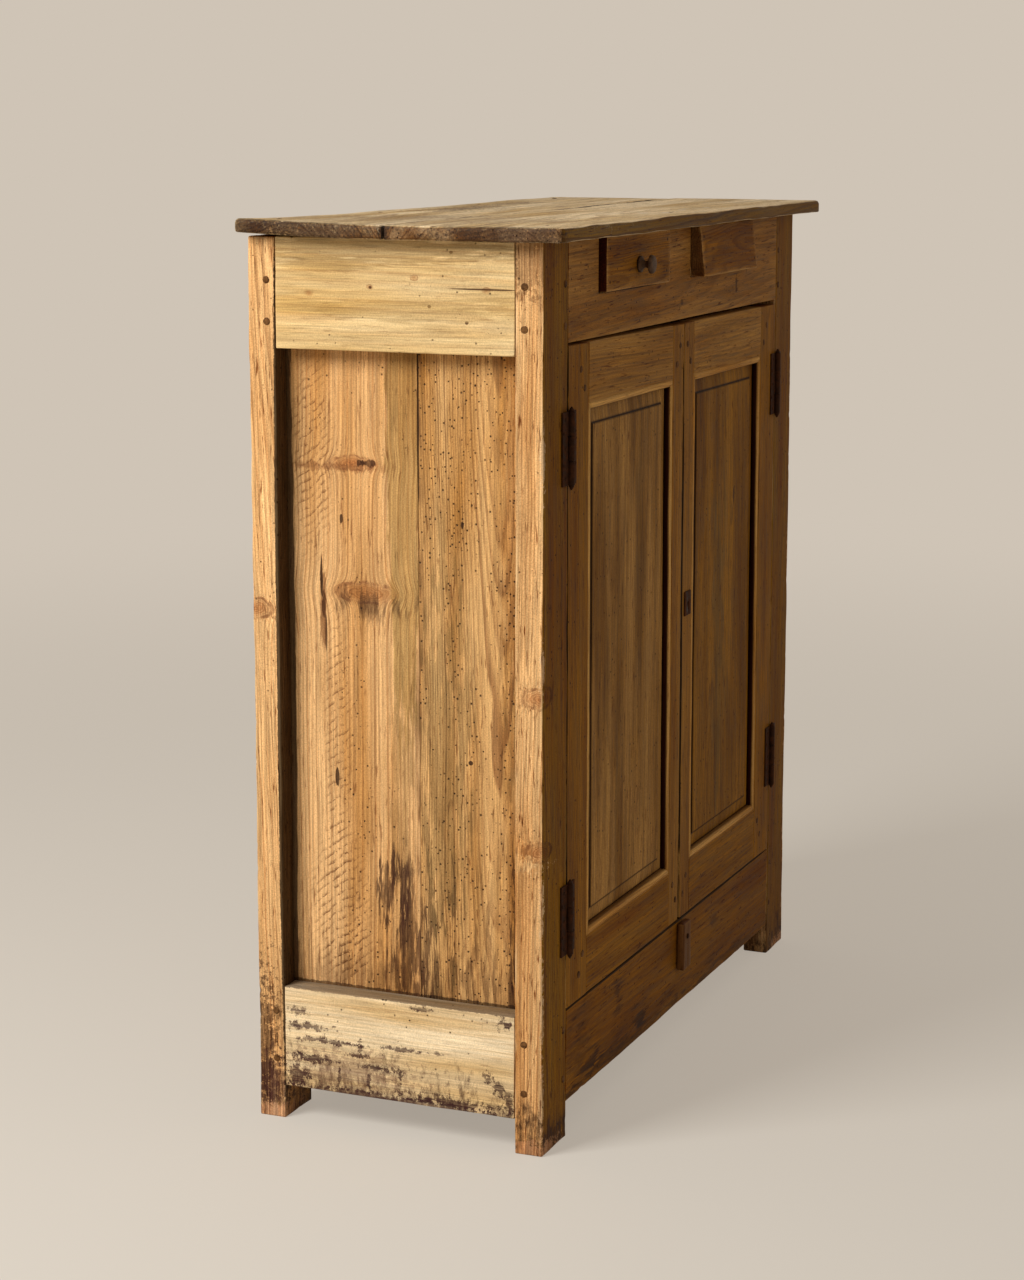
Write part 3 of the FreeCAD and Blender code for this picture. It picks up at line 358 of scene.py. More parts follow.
def on_face(axis, place, deep, rows):
    """Marks on a face square to an axis, at a place and so deep: each row gives the middle along the two
    other axes and the two half sizes, in mm, and then what else the mark needs."""
    return [(np.insert(np.array(row[:2]) * MM, axis, place), np.insert(np.array(row[2:4]) * MM, axis, deep),
             *row[4:]) for row in rows]


post_low = span("post_front_left")[0]
post_x, front_y = -post_low[X], post_low[Y]
on_left = partial(on_face, X, -post_x)
post_knots = on_left(30 * MM, [(y, z, 26, 13, Y, 0.65) for y, z in ((-187, 603), (-190, 403), (216, 691))])
post_stains_and_shade = on_left(50 * MM, [(-170, 1150, 40, 45, "#6b4526", 0.6, 1.2),
                                (-160, 386, 22, 11, "#f2cd98", 0.8, 1.4),
                                (210, 90, 20, 110, "#3c2018", 0.85, 1.8),
                                (200, 45, 34, 45, "#4a2c28", 0.75, 1.4)])
for side in (-post_x, post_x):
    # Painted shade: a near-black strip on each back post's face that looks forward into the panel's recess
    post_stains_and_shade += on_face(X, side, 70 * MM, [(181, 607, 5, 600, "#1e1208", 0.9, 0.2)]
                           + [(y, 2, 30, 18, "#e0ac80", 0.7, 0.8) for y in (-172, 198)])
    post_stains_and_shade += on_face(X, side, 5 * MM, [(front_y / MM, z, 4, high, "#dcb88c", 0.9, 1.6) for z, high in (
        (70, 60), (190, 70), (330, 40), (640, 30), (905, 40))])
# Aged pine, orange brown at the sides, with pale chips on the front arris and black feet; the front
# faces are darker partly as painted shade, and each back post has near-black painted shade on its face
# beside the panel
posts_pine = pine("posts_aged_pine", "#e8b87e", "#ae733f", "#d4b78e", 4.2 * MM, worm=0.35, patina="#968232",
                  grit=1.5, dirt=1.0, streaks=0.5, gloss=0.06, crumbly=True, knots=post_knots,
                  stains=post_stains_and_shade, grime=(110 * MM, -20 * MM, "#3a2018", 0.85))
POST_ARRIS, POST_CELL = 1.8 * MM, 6 * MM
for seed, node in enumerate(("post_front_left", "post_front_right", "post_back_left", "post_back_right")):
    timber = board(*span(node), Z, 10 * seed, POST_ARRIS, POST_CELL, (60 + 20 * seed, 70 - 10 * seed),
                   patina=(0.1, 1 if "front" in node else 0.3), dents=4)
    timber["points"][:, Z] = np.maximum(timber["points"][:, Z], 0)
    piece(node, [timber], posts_pine, "carcass")

# Side rails: a wide board of the palest, least handled pine above and below each side panel,
# tenoned into the posts and flush with them. The lower one took mop water and boots, and
# is stained purple-brown along its lower half.
RAIL_DEEP, DEPTH, JOINT = 9 * MM, 40 * MM, 0.5 * MM
top_rail_knots = on_left(RAIL_DEEP, [(y, z, wide, 3, Z, 0.6) for y, z, wide in (
    (46, 1112, 4), (133, 1103, 6), (-15, 1126, 5), (-113, 1112, 5))])
top_rail_stains = on_left(RAIL_DEEP, [(y, z, 2.6, 2.2, "#4f2c12", 0.9, 0.4) for y, z in (
    (46, 1112), (-35, 1090), (-86, 1071), (-65, 1158))] + [(-107, 1113, 48, 1.1, "#4a2a10", 0.95, 0.2)])
top_rail_stains += on_left(DEPTH, [(60, 1160, 260, 16, "#9a7c4a", 0.6, 1.0),
                                   (-20, 1085, 150, 14, "#b29460", 0.5, 1.0),
                                   (110, 1140, 70, 10, "#a98b58", 0.5, 1.0)])
scuffs = ((116, 115, 50, 3.5), (10, 118, 26, 3), (-43, 119, 9, 2.5), (77, 101, 18, 3), (101, 66, 3, 13),
          (12, 81, 3.4, 14), (57, 65, 3, 15), (70, 112, 3, 9), (-115, 98, 7, 9), (-128, 84, 7, 10),
          (-142, 68, 9, 12), (-138, 172, 13, 8), (15, 46, 190, 8), (165, 62, 20, 22), (140, 88, 26, 6),
          (40, 88, 30, 4), (-60, 56, 60, 7), (160, 152, 12, 6), (150, 132, 30, 5), (-20, 176, 18, 3))
bottom_rail_stains = on_left(50 * MM, [(90, 78, 95, 30, "#8a6a5a", 0.6, 1.8)]
                             + [(*scuff, "#46292a", 0.95, 1.7) for scuff in scuffs])
bottom_rail_stains += on_face(X, -post_x + 20 * MM, 60 * MM, [(15, 184, 400, 2.5, "#6e5c4a", 0.85, 0.5)])
# Bare pine, straw yellow and nearly clean above, scuffed and blotched dark below
rail_pines = {
    "side_top_rail": pine("upper_side_rail_bare_pine", "#ddc18f", "#bf9560", "#dccba6", 9 * MM,
                          line=0.5, worm=0.06, dirt=0.3, rubbed="#d8b57c", knots=top_rail_knots,
                          stains=top_rail_stains),
    "side_bottom_rail": pine("lower_side_rail_scuffed_pine", "#ecd5ae", "#cba877", "#ddcdb0", 8 * MM,
                             line=0.45, worm=0.1, dirt=0.3, rubbed="#d8b88a", crumbly=True,
                             stains=bottom_rail_stains, grime=(126 * MM, 5 * MM, "#50332c", 0.8)),
}
for seed, (kind, wood) in enumerate(rail_pines.items()):
    for hand in ("left", "right"):
        node = f"{kind}_{hand}"
        low, high = span(node)
        low[Y], high[Y] = span(f"post_front_{hand}")[1][Y] + JOINT, span(f"post_back_{hand}")[0][Y] - JOINT
        rail = board(low, high, Y, 41 + 10 * seed + len(hand), 1.3 * MM, pith=(40, 55))
        piece(node, [rail], wood, "carcass")

# Side panels: two upright boards each, tongued together and let into grooves of the posts
# and rails, 30 mm back from their faces. The rear board has spike knots, the saw's slanting
# marks and a split; the one in front is fine grained and full of worm. Each panel has painted shade
# along its foot, and the rear board a dark band of painted shade beside the back post.
REAR_RING, FRONT_RING, PANEL_ARRIS = 6.2 * MM, 3.4 * MM, 0.9 * MM
panel_x = abs(span("side_panel_back_left")[0][X])
rear_knots = [(70, 716, 41, 13, Y, 0.7), (88, 884, 30, 9, Y, 0.7)]
rear_sawn = [(146, 890, 34, 150, 0.9), (110, 290, 46, 120, 0.95), (95, 232, 40, 36, 1.0),
             (112, 520, 22, 210, 0.85)]
rear_stains_and_shade = [
    (16, 880, 25, 380, "#b0894e", 0.8, 0.35), (20, 520, 16, 300, "#9c7a48", 0.5, 2.4),
    # Both marks on the next line are painted shade: a line along the panel's foot at the rail, and a band at
    # its rear edge beside the back post
    (90, 184, 150, 3.5, "#2a180c", 0.8, 0.6), (181, 610, 8, 600, "#2a180c", 0.85, 0.3),
    (-5, 960, 1.5, 130, "#2a160a", 0.9, 0.3), (131, 692, 5, 58, "#7c4a24", 0.8, 1.0),
    (134, 728, 2, 26, "#38200f", 0.95, 0.5), (131, 696, 3.2, 20, "#4a2812", 0.95, 0.8),
    (128, 661, 1.8, 28, "#4a2812", 0.9, 0.5), (76, 716, 46, 10, "#bd8854", 0.7, 0.6),
    (62, 701, 48, 11, "#573722", 0.7, 2.6), (64, 690, 26, 12, "#5d4028", 0.65, 2.4),
    (114, 878, 62, 6, "#8a5530", 0.65, 1.5), (70, 885, 15, 4.5, "#3a1d0c", 0.95, 1.2),
    (105, 811, 2.6, 7, "#3a1f0e", 0.95, 0.5), (114, 468, 3, 13, "#3a1f0e", 0.95, 0.5),
    (40, 313, 8, 42, "#43261c", 0.95, 2.8), (22, 294, 10, 42, "#43261c", 0.95, 3.0),
    (8, 255, 26, 76, "#482a20", 0.82, 3.6), (70, 205, 60, 26, "#5d381f", 0.4, 2.2),
    (130, 200, 50, 30, "#6b4526", 0.35, 2.2)]
front_stains_and_shade = [
    (-8, 250, 26, 80, "#43261c", 0.8, 3.4), (-52, 285, 9, 50, "#452318", 0.8, 2.8),
    (-145, 275, 11, 130, "#3f2016", 0.92, 1.6), (-60, 215, 70, 46, "#5d381f", 0.6, 3.2),
    (-40, 500, 34, 260, "#8f7245", 0.6, 1.4), (-138, 660, 14, 180, "#7c6038", 0.6, 1.8),
    # The first mark on the next line is painted shade along the panel's foot at the rail
    (-80, 184, 150, 3.5, "#2a180c", 0.8, 0.6), (-5, 960, 1.5, 130, "#2a160a", 0.9, 0.3),
    (-77, 504, 3.6, 3.6, "#33190c", 0.95, 0.3), (-66, 812, 2.6, 6, "#33190c", 0.95, 0.5),
    (-140, 800, 20, 240, "#b97a34", 0.35, 1.0)]
for hand, side in (("left", -1), ("right", 1)):
    marked = partial(on_face, X, side * panel_x, DEPTH)
    rear_node, front_node = f"side_panel_back_{hand}", f"side_panel_front_{hand}"
    front_low, front_high = span(front_node)
    rear_low, rear_high = span(rear_node)
    rear_low[Y] = front_high[Y]
    # Knotty pine, honey coloured and wide ringed; and slow-grown pine, browner, pricked all over by worm
    rear_pine = pine(f"rear_side_board_{hand}_knotty_pine", "#dfb078", "#a06a38", "#dccaaa", REAR_RING,
                     line=0.65, worm=0.4, dirt=0.6, grit=1.2, wander=26 * MM, rubbed="#6b4526",
                     knots=marked(rear_knots), sawn=marked(rear_sawn), stains=marked(rear_stains_and_shade))
    front_pine = pine(f"front_side_board_{hand}_wormy_pine", "#d3a56a", "#865830", "#ccb68c", FRONT_RING,
                      line=0.75, worm=0.85, dirt=0.7, grit=1.2, wander=36 * MM, rubbed="#6b4526",
                      stains=marked(front_stains_and_shade))
    rear = board(rear_low, rear_high, Z, 71, PANEL_ARRIS, pith=(190, 30))
    front = board(front_low, front_high, Z, 83, PANEL_ARRIS, pith=(34, 46))
    piece(rear_node, [rear], rear_pine, "carcass")
    piece(front_node, [front], front_pine, "carcass")

# Front frame: a deep frieze board with two notches for the drawers, and a rail under the
# doors, both tenoned into the posts. The whole front is browner than the sides: partly waxed
# and smoked, partly painted shade. It is dirty towards the floor, and its gaps are painted near
# black as shade, with some dirt.
FRONT_EARLY, FRONT_LATE, FRONT_TINT = "#cf9d60", "#7d4e24", "#cdb98c"
# The front faces' darker, less blue tone: partly a patina of wax and smoke, partly painted shade
FRONT_PATINA_AND_SHADE, FRONT_GLOSS = "#ae9648", 0.065
FRONT_FINISH_AND_SHADE = {"rubbed": "#d8a868", "patina": FRONT_PATINA_AND_SHADE, "grit": 1.5, "streaks": 0.4, "gloss": FRONT_GLOSS}
# The first colour is the near black painted into gaps between parts, as shade with some dirt, and the second
# how high that band is
GAP_SHADE, GAP_SHADE_HIGH, NOTCH_UNDER, NOTCH_SIDE = "#160c06", 1.8 * MM, 1.7 * MM, 2.2 * MM
NOTCH_UP, NOTCH_HIGH = 36 * MM, 45 * MM
on_front = partial(on_face, Y, front_y, DEPTH)
frieze_stains_and_gap_shade = on_front([(*spot, "#3a2110", 0.85, 1.2) for spot in (
    (-3, 1067, 5, 5), (-12, 1060, 3, 3), (237, 1077, 4, 12), (20, 1075, 3, 2))])
rail_stains_and_gap_shade = on_front([(*spot, "#3a2213", amount, 2.6) for *spot, amount in (
    (-200, 52, 240, 16, 0.7), (250, 55, 160, 14, 0.6), (-380, 90, 40, 60, 0.5), (-241, 139, 18, 28, 0.7),
    (-154, 77, 26, 12, 0.85), (-352, 74, 34, 12, 0.7), (167, 128, 12, 16, 0.6))])
rail_low, rail_high = span("front_bottom_rail")
# Painted shade, with some dirt, in the gap along the rail's top edge under the doors
rail_stains_and_gap_shade.append(((0, front_y, rail_high[Z]), (post_x, DEPTH, GAP_SHADE_HIGH), GAP_SHADE, 0.9, 0.2))
sill = span("drawer_left_front")[0][Z] - 1 * MM
notch_ends = []
for hand, before, after in (("left", 8 * MM, 2 * MM), ("right", 6 * MM, 4 * MM)):
    low, high = span(f"drawer_{hand}_front")
    start, end = low[X] - before, high[X] + after
    notch_ends.append((start, end))
    # Painted shade, with some dirt, in the gaps under and beside each drawer front
    under = ((start + end) / 2, front_y, sill), ((end - start) / 2, DEPTH, NOTCH_UNDER)
    beside = (end, front_y, sill + NOTCH_UP), (NOTCH_SIDE, DEPTH, NOTCH_HIGH)
    frieze_stains_and_gap_shade += [(*gap_shade, GAP_SHADE, 0.85, 0.3) for gap_shade in (under, beside)]
# Waxed pine, brown and soft in shine, its rings nearly lost in smoke; its front face is darker partly
# as painted shade, and the gaps round the drawers and above the rail hold painted shade
frieze_pine = pine("frieze_brown_pine", FRONT_EARLY, FRONT_LATE, FRONT_TINT, 7 * MM, line=0.6, worm=0.2,
                   dirt=0.9, stains=frieze_stains_and_gap_shade, **FRONT_FINISH_AND_SHADE)
front_rail_pine = pine("front_rail_brown_pine", FRONT_EARLY, FRONT_LATE, FRONT_TINT, 7 * MM, line=0.4,
                       worm=0.2, wander=22 * MM, dirt=0.9, stains=rail_stains_and_gap_shade, **FRONT_FINISH_AND_SHADE)
left_post, right_post = span("post_front_left")[1][X], span("post_front_right")[0][X]
low, high = span("frieze_board")
low[X], high[X] = rail_low[X], rail_high[X] = left_post + JOINT, right_post - JOINT
notches = [((start, low[Y] - DEPTH, sill), (end, high[Y] + DEPTH, high[Z] + DEPTH))
           for start, end in notch_ends]
frieze = board(low, high, X, 91, 1.2 * MM, pith=(25, 45), patina=(0.2, 0.7), notches=notches,
               extra=(np.ravel(notch_ends), (), (sill,)))
piece("frieze_board", [frieze], frieze_pine, "carcass", 1.3 * MM)
front_rail = board(rail_low, rail_high, X, 97, 1.6 * MM, pith=(30, 60), patina=(0.2, 1))
piece("front_bottom_rail", [front_rail], front_rail_pine, "carcass")

# Back: an upper and a lower rail tenoned into the back posts, and five upright boards nailed
# on them with small gaps. They were not meant to be seen, so they were never planed smooth,
# and are grey and dusty.
BACK_GREYS, BOARD_GAP = (0.5, 0.1, 0.8, 0.3, 0.65), 1.5 * MM
# Raw pine, rough and greyed, each board in its own shade
back_pine = pine("back_boards_raw_pine", "#cba878", "#8d6a41", "#dcd0b6", 5.2 * MM, line=0.75, worm=0.5,
                 patina="#a8926c", rubbed="#caa878", dirt=0.8, grit=1.5)
for seed, node in enumerate(("back_top_rail", "back_bottom_rail")):
    low, high = span(node)
    low[X], high[X] = span("post_back_left")[1][X], span("post_back_right")[0][X]
    piece(node, [board(low, high, X, 101 + 10 * seed)], back_pine, "carcass")
back_low, back_high = span("back_boards")
back_pitch = (back_high[X] - back_low[X] + BOARD_GAP) / len(BACK_GREYS)
uprights = []
for n, grey in enumerate(BACK_GREYS):
    start, end = back_low[X] + back_pitch * n, back_low[X] + back_pitch * (n + 1) - BOARD_GAP
    uprights.append(board((start, *back_low[1:]), (end, *back_high[1:]), Z, 121 + 7 * n, patina=(grey, grey)))
piece("back_boards", uprights, back_pine, "carcass")

# Pegs: riven oak, whittled to ten rough sides and driven through each mortise and tenon.
# The ends stand a little proud of the face, dark with dirt that gathers round them.
PEG_RADIUS, PEG_PROUD, PEG_DEEP, PEG_SIDES = 4.9 * MM, 0.7 * MM, 12 * MM, 10


def turned(profile, middle, axis, way=1, sides=24, seed=0, uneven=0.0):
    """A surface of revolution: each (distance along the axis, radius) of the profile is a ring, uneven by a
    share of its radius, and both ends close in a point. Way -1 points it the other way."""
    profile = np.array(profile, float)[::way] * (way, 1)
    flat = [(axis + 1) % 3, (axis + 2) % 3]
    turn = np.arange(sides) * 2 * np.pi / sides
    lobes = 1 + uneven * np.random.default_rng(seed).uniform(-1, 1, sides)
    rings = profile[1:-1]
    points = np.zeros((len(rings) * sides + 2, 3))
    points[:-2, axis] = np.repeat(rings[:, 0], sides)
    for across, bow in zip(flat, (np.cos(turn), np.sin(turn))):
        points[:-2, across] = np.outer(rings[:, 1], bow * lobes).ravel()
    points[-2:, axis] = profile[[0, -1], 0]
    ids = np.arange(len(rings) * sides).reshape(-1, sides)
    after = np.roll(ids, -1, axis=1)
    walls = np.stack([ids[:-1], after[:-1], after[1:], ids[1:]], -1).reshape(-1, 4)
    first, last = np.full(sides, len(points) - 2), np.full(sides, len(points) - 1)
    caps = np.stack([np.append(first, last), np.append(after[0], ids[-1]), np.append(ids[0], after[-1])], 1)
    wear = np.zeros_like(points)
    wear[:-2, 0] = np.repeat(np.gradient(rings[:, 1]) != 0, sides)
    log = points[:, [*flat, axis]] + np.array([30 + 9 * seed % 40, 5, 40 * seed]) * MM
    return {"points": points + np.array(middle), "faces": [walls, caps], "log": log, "wear": wear}


def peg(spot, axis, way, seed):
    """A peg's end: a rod with flats, and a low dome on the outer end."""
    profile = [(-PEG_DEEP, 0), (-PEG_DEEP, PEG_RADIUS), (0.3 * PEG_PROUD, PEG_RADIUS),
               (0.7 * PEG_PROUD, 0.9 * PEG_RADIUS), (PEG_PROUD, 0.5 * PEG_RADIUS), (PEG_PROUD, 0)]
    return turned(profile, spot, axis, way, PEG_SIDES, seed, 0.07)


# Oak, nearly black with dirt and hardly shining
peg_oak = pine("pegs_dark_oak", "#7a5532", "#4c2f18", "#b49a78", 1.6 * MM, worm=0, gloss=0.04,
               rubbed="#24150b")
back_y = span("post_back_left")[1][Y]
side_peg_y, front_peg_x, rear_peg_x = (-163.5 * MM, 193.5 * MM), 442.5 * MM, 448.5 * MM
ends = []
for height in (1118 * MM, 1065 * MM, 148 * MM, 82 * MM):
    for way in (-1, 1):
        ends += [((way * post_x, y, height), X, way) for y in side_peg_y]
        ends += [((way * front_peg_x, front_y, height), Y, -1), ((way * rear_peg_x, back_y, height), Y, 1)]
piece("frame_pegs", [peg(*spot, seed) for seed, spot in enumerate(ends)], peg_oak, "carcass")

# Inside: three floor boards on cleats, and two wide shelves notched round the back posts. All
# of it is planed pine that never saw wax, dulled by dust and use.
NOTCH_TOP, POST_SLACK, FLOOR_BOARDS, SHELF_CELL = 2.0, 1 * MM, 3, 20 * MM
# Raw pine, dull and even in tone, with plain rings
inside_pine = pine("inside_raw_pine", "#c9a470", "#9a7345", "#d8c6a2", 5 * MM, line=0.6, worm=0.25,
                   rubbed="#d2b083")


def post_notch(node):
    """The space of a post in a board that goes round it, a little larger, and open to the outside."""
    low, high = span(node)
    low, high = low - POST_SLACK, high + POST_SLACK
    for axis in (X, Y):
        if low[axis] < 0:
            low[axis] -= DEPTH
        else:
            high[axis] += DEPTH
    low[Z], high[Z] = -1, NOTCH_TOP
    return low, high


def notched(low, high, posts, seed, pith=None):
    """A board of the floor or a shelf with the notches of its posts, and grid lines at their sides."""
    notches = [post_notch(node) for node in posts]
    lines = [[edge[axis] for notch in notches for edge in notch if low[axis] < edge[axis] < high[axis]]
             for axis in (X, Y)]
    return board(low, high, X, seed, cell=SHELF_CELL, notches=notches, extra=(*lines, ()), pith=pith)


low, high = span("floor_boards")
pitch = (high[Y] - low[Y] + BOARD_GAP) / FLOOR_BOARDS
floor_parts = []
for n in range(FLOOR_BOARDS):
    start, end = low[Y] + pitch * n, low[Y] + pitch * (n + 1) - BOARD_GAP
    floor_parts.append(notched((low[X], start, low[Z]), (high[X], end, high[Z]),
                               ("post_front_left", "post_front_right") if n == 0 else (), 151 + 7 * n))
piece("floor_boards", floor_parts, inside_pine, "carcass", 1 * MM)
for seed, node in enumerate(("shelf_lower", "shelf_upper")):
    shelf = notched(*span(node), ("post_back_left", "post_back_right"), 181 + 9 * seed, (60, 70))
    piece(node, [shelf], inside_pine, "carcass", 1.4 * MM)

# Cleats under the floor and the shelves: short battens of the same raw pine, nailed to the
# front rail, the side rails and the side panels.
CLEAT_WIDE, CLEAT_HIGH, CLEAT_SHORT, CLEAT_END = 20 * MM, 22 * MM, 24 * MM, 0.2 * MM
floor_z, board_back = span("floor_boards")[0][Z], span("frieze_board")[1][Y]
start, end = span("post_front_left")[1][Y] + CLEAT_WIDE, span("post_back_left")[0][Y] - CLEAT_END
cleat_boxes = [((left_post + CLEAT_SHORT, board_back, floor_z - CLEAT_HIGH),
                (right_post - CLEAT_SHORT, board_back + CLEAT_WIDE, floor_z), X)]
for way in (-1, 1):
    for under, beside in (("floor_boards", "side_bottom_rail_left"), ("shelf_lower", "side_panel_back_left"),
                          ("shelf_upper", "side_panel_back_left")):
        top, wall = span(under)[0][Z], abs(span(beside)[1][X])
        reach = sorted((way * (wall - CLEAT_WIDE), way * wall))
        cleat_boxes.append(((reach[0], start, top - CLEAT_HIGH), (reach[1], end, top), Y))
piece("cleats", [board(*spot, 211 + 5 * n) for n, spot in enumerate(cleat_boxes)], inside_pine, "carcass")

# Drawer runners: L-shaped ledges of raw pine from the frieze to the back rail, one under each
# drawer side, with the upright part beside the drawer to guide it.
RUNNER_WIDE, RUNNER_HIGH, GUIDE_HIGH, LEDGE, GUIDE_GAP = 20 * MM, 20 * MM, 26 * MM, 10 * MM, 1.2 * MM
RUNNER_CELL = 24 * MM
back_rail = span("back_top_rail")[0][Y]
runners = []
for hand in ("left", "right"):
    for side, drawer_corner in zip((-1, 1), span(f"drawer_{hand}_front")):
        edge = drawer_corner[X]
        ledge, guide = edge - side * LEDGE, edge + side * GUIDE_GAP
        reach = sorted((ledge, edge + side * (GUIDE_GAP + RUNNER_WIDE)))
        room = sorted((ledge - side * DEPTH, guide))
        notch = ((room[0], board_back - DEPTH, sill), (room[1], back_rail + DEPTH, NOTCH_TOP))
        low, high = (reach[0], board_back, sill - RUNNER_HIGH), (reach[1], back_rail, sill + GUIDE_HIGH)
        runners.append(board(low, high, Y, 251 + len(runners), cell=RUNNER_CELL, notches=[notch], sway=0,
                             extra=((guide,), (), (sill,))))
piece("drawer_runners", runners, inside_pine, "carcass", 0.8 * MM)

# Top: two wide planks nailed down on the frame, with rounded corners and rims worn hollow in
# places. The rear plank has lifted at its left end; the end grain is black-brown with age and
# the upper face is greyed, ringed and marked by nail heads.
TOP_CORNER, TOP_ARRIS, LIFT, TOP_CELL = 9 * MM, 4.5 * MM, 6 * MM, 15 * MM
RIM_WORN, RIM_REACH, RIM_WAVE, TOP_SWAY = 1.6 * MM, 90 * MM, 260 * MM, 0.6 * MM
LIFT_X, LIFT_LONG, LIFT_Y, LIFT_WIDE = -250 * MM, 300 * MM, 20 * MM, 200 * MM
top_z = span("top_front_board")[1][Z]
on_top, on_ends = partial(on_face, Z, top_z), partial(on_face, Z, top_z - 8 * MM)
top_stains = on_top(DEPTH, [(28, 150, 110, 40, "#4f3a22", 0.8, 2.4), (230, 157, 60, 26, "#4a3520", 0.7, 2.2),
                            (-300, 90, 90, 60, "#8d7048", 0.5, 2.0)])
top_stains += on_top(2 * DEPTH, [(0, 16.5, 1500, 2.6, "#22150a", 0.95, 0.15)])
top_stains += on_top(DEPTH, [(330, 16.5, 360, 4.5, "#22150a", 0.95, 0.3)])
top_stains += on_ends(12 * MM, [(-540, 14, 14, 9, "#1e120a", 0.9, 1.4)])
top_stains += on_ends(DEPTH, [(-540, 205, 30, 60, "#33241a", 0.75, 1.3),
                              (-540, 110, 20, 70, "#4c3826", 0.85, 1.3),
                              (-540, -150, 20, 85, "#4f3826", 0.85, 1.3)])
top_stains += on_top(12 * MM, [(-380, 40, 140, 230, "#a28b69", 0.55, 1.2)])
top_stains += on_top(DEPTH, [(x, y, 9, 7, "#f4eee0", 1.0, 0.6) for x, y in (
    (-60, -150), (-20, -172), (75, -160), (118, -150), (140, -158), (165, -166))])
# Greyed pine, dry and dull above, with strong rings, brown rims and black-brown ends; its front edge
# is darker partly as painted shade
top_pine = pine("top_greyed_pine", "#e8cfa5", "#a07c50", "#d2c29f", 5.5 * MM, line=0.85, worm=0.35,
                end="#7c6042", soaked=0.8, rubbed="#a07c50", dirt=0.9, grit=1.6, patina="#886d2d",
                crumbly=True, stains=top_stains)


def rounded_corners(part, low, high, radius, y_end):
    """Round the plan's two outer corners: in each corner's square, distance from its middle is kept but
    measured as on a disc, so straight sides turn into a quarter circle."""
    flat = part["points"][:, :2]
    for x_end in (low[X], high[X]):
        inward = np.array((np.sign(-x_end), np.sign(np.mean((low[Y], high[Y])) - y_end)))
        middle = np.array((x_end, y_end)) + inward * radius
        away = flat - middle
        outside = ((away * inward) < 0).all(1)
        longest, length = np.abs(away).max(1), np.linalg.norm(away, axis=1)
        scale = np.where(outside & (length > 0), longest / np.maximum(length, 1e-9), 1)
        flat[:] = middle + away * scale[:, None]


def lifted(spots):
    """How far the rear plank has risen at its left end: the square of the distances past a line each way."""
    spots = np.array(spots)
    along = np.clip((LIFT_X - spots[:, X]) / LIFT_LONG, 0, 1)
    return LIFT * (along * np.clip((spots[:, Y] - LIFT_Y) / LIFT_WIDE, 0, 1)) ** 2


rim_lines = np.linspace(0, TOP_CORNER, 6)
for which, node in enumerate(("top_front_board", "top_back_board")):
    low, high = span(node)
    rim, inwards = (low, high)[which][Y], 1 - 2 * which
    plank = board(low, high, X, 301 + 20 * which, TOP_ARRIS, TOP_CELL, (30 - 70 * which, 75), (0, 1 - which),
                  TOP_SWAY, extra=(np.concatenate([low[X] + rim_lines, high[X] - rim_lines]),
                                   rim + inwards * rim_lines, ()))
    rounded_corners(plank, low, high, TOP_CORNER, rim)
    spots = plank["sharp"]
    out = np.clip(1 - np.abs(spots[:, Y] - rim) / RIM_REACH, 0, 1)
    hollow = 1 + ripple(spots * (1, 0, 0), RIM_WAVE, 7 + which)
    plank["points"][:, Y] += inwards * RIM_WORN * out * hollow
    plank["points"][:, Z] += lifted(spots)
    piece(node, [plank], top_pine, "carcass")

# Nails of the top and of the back boards: hand-cut iron, with flat rose heads driven level
# with the wood, two in each back board at each rail.
NAIL_HEAD, NAIL_SINK, NAIL_SIDES, NAIL_STAGGER = 4.0 * MM, 3 * MM, 10, 12 * MM


def black_iron(name, rust):
    """Forged iron, black from the fire and long rusted: dark scale with brown bloom about 4 mm wide, pitted
    and dull."""
    material = bpy.data.materials.new(name)
    add = bare(material)
    place = add("TexCoord", (), out="Object")
    bloom = add("TexNoise", {"Vector": place, "Scale": 1 / (8 * MM), "Detail": 4})
    pits = add("TexNoise", {"Vector": place, "Scale": 1 / (1.6 * MM), "Detail": 2})
    spread = add("MapRange", (bloom, 0.42, 0.68, 0, rust))
    colour = add("Mix", {0: spread, 6: linear("#2e1a0e"), 7: linear("#56301a")}, **RGBA)
    rough = add("MapRange", (bloom, 0.35, 0.65, 0.55, 0.85))
    bump = add("Bump", {"Strength": 0.5, "Distance": 0.4 * MM, "Height": pits})
    shader = add("BsdfPrincipled", {"Base Color": colour, "Metallic": 0.1, "Roughness": rough,
                                    "Specular IOR Level": 0.06, "Normal": bump})
    add("OutputMaterial", {"Surface": shader})
    return material


nail_iron = black_iron("nails_black_iron", 0.7)
nail_head = [(-NAIL_SINK, 0), (-NAIL_SINK, 0.8 * NAIL_HEAD), (-0.4 * MM, NAIL_HEAD),
             (0.3 * MM, 0.8 * NAIL_HEAD), (0.6 * MM, 0)]
nail_spots = [(x * MM, -177 * MM) for x in (-473.5, 473.5, -376, -21, 344)]
nail_spots += [(x * MM, 195 * MM) for x in (-473.5, 473.5, -171.5, 171.5)]
top_spots = [(x, y, top_z + up) for (x, y), up in zip(nail_spots, lifted(nail_spots))]
rail_heights = [np.mean(span(node), axis=0)[Z] for node in ("back_top_rail", "back_bottom_rail")]
back_spots = [(back_low[X] + back_pitch * (n + share), back_high[Y], z + NAIL_STAGGER * (share - 0.5))
              for n in range(len(BACK_GREYS)) for share in (0.22, 0.76) for z in rail_heights]
for name, spots, axis in (("top_nails", top_spots, Z), ("back_board_nails", back_spots, Y)):
    heads = [turned(nail_head, spot, axis, 1, NAIL_SIDES, seed, 0.15) for seed, spot in enumerate(spots)]
    piece(name, heads, nail_iron, "carcass")

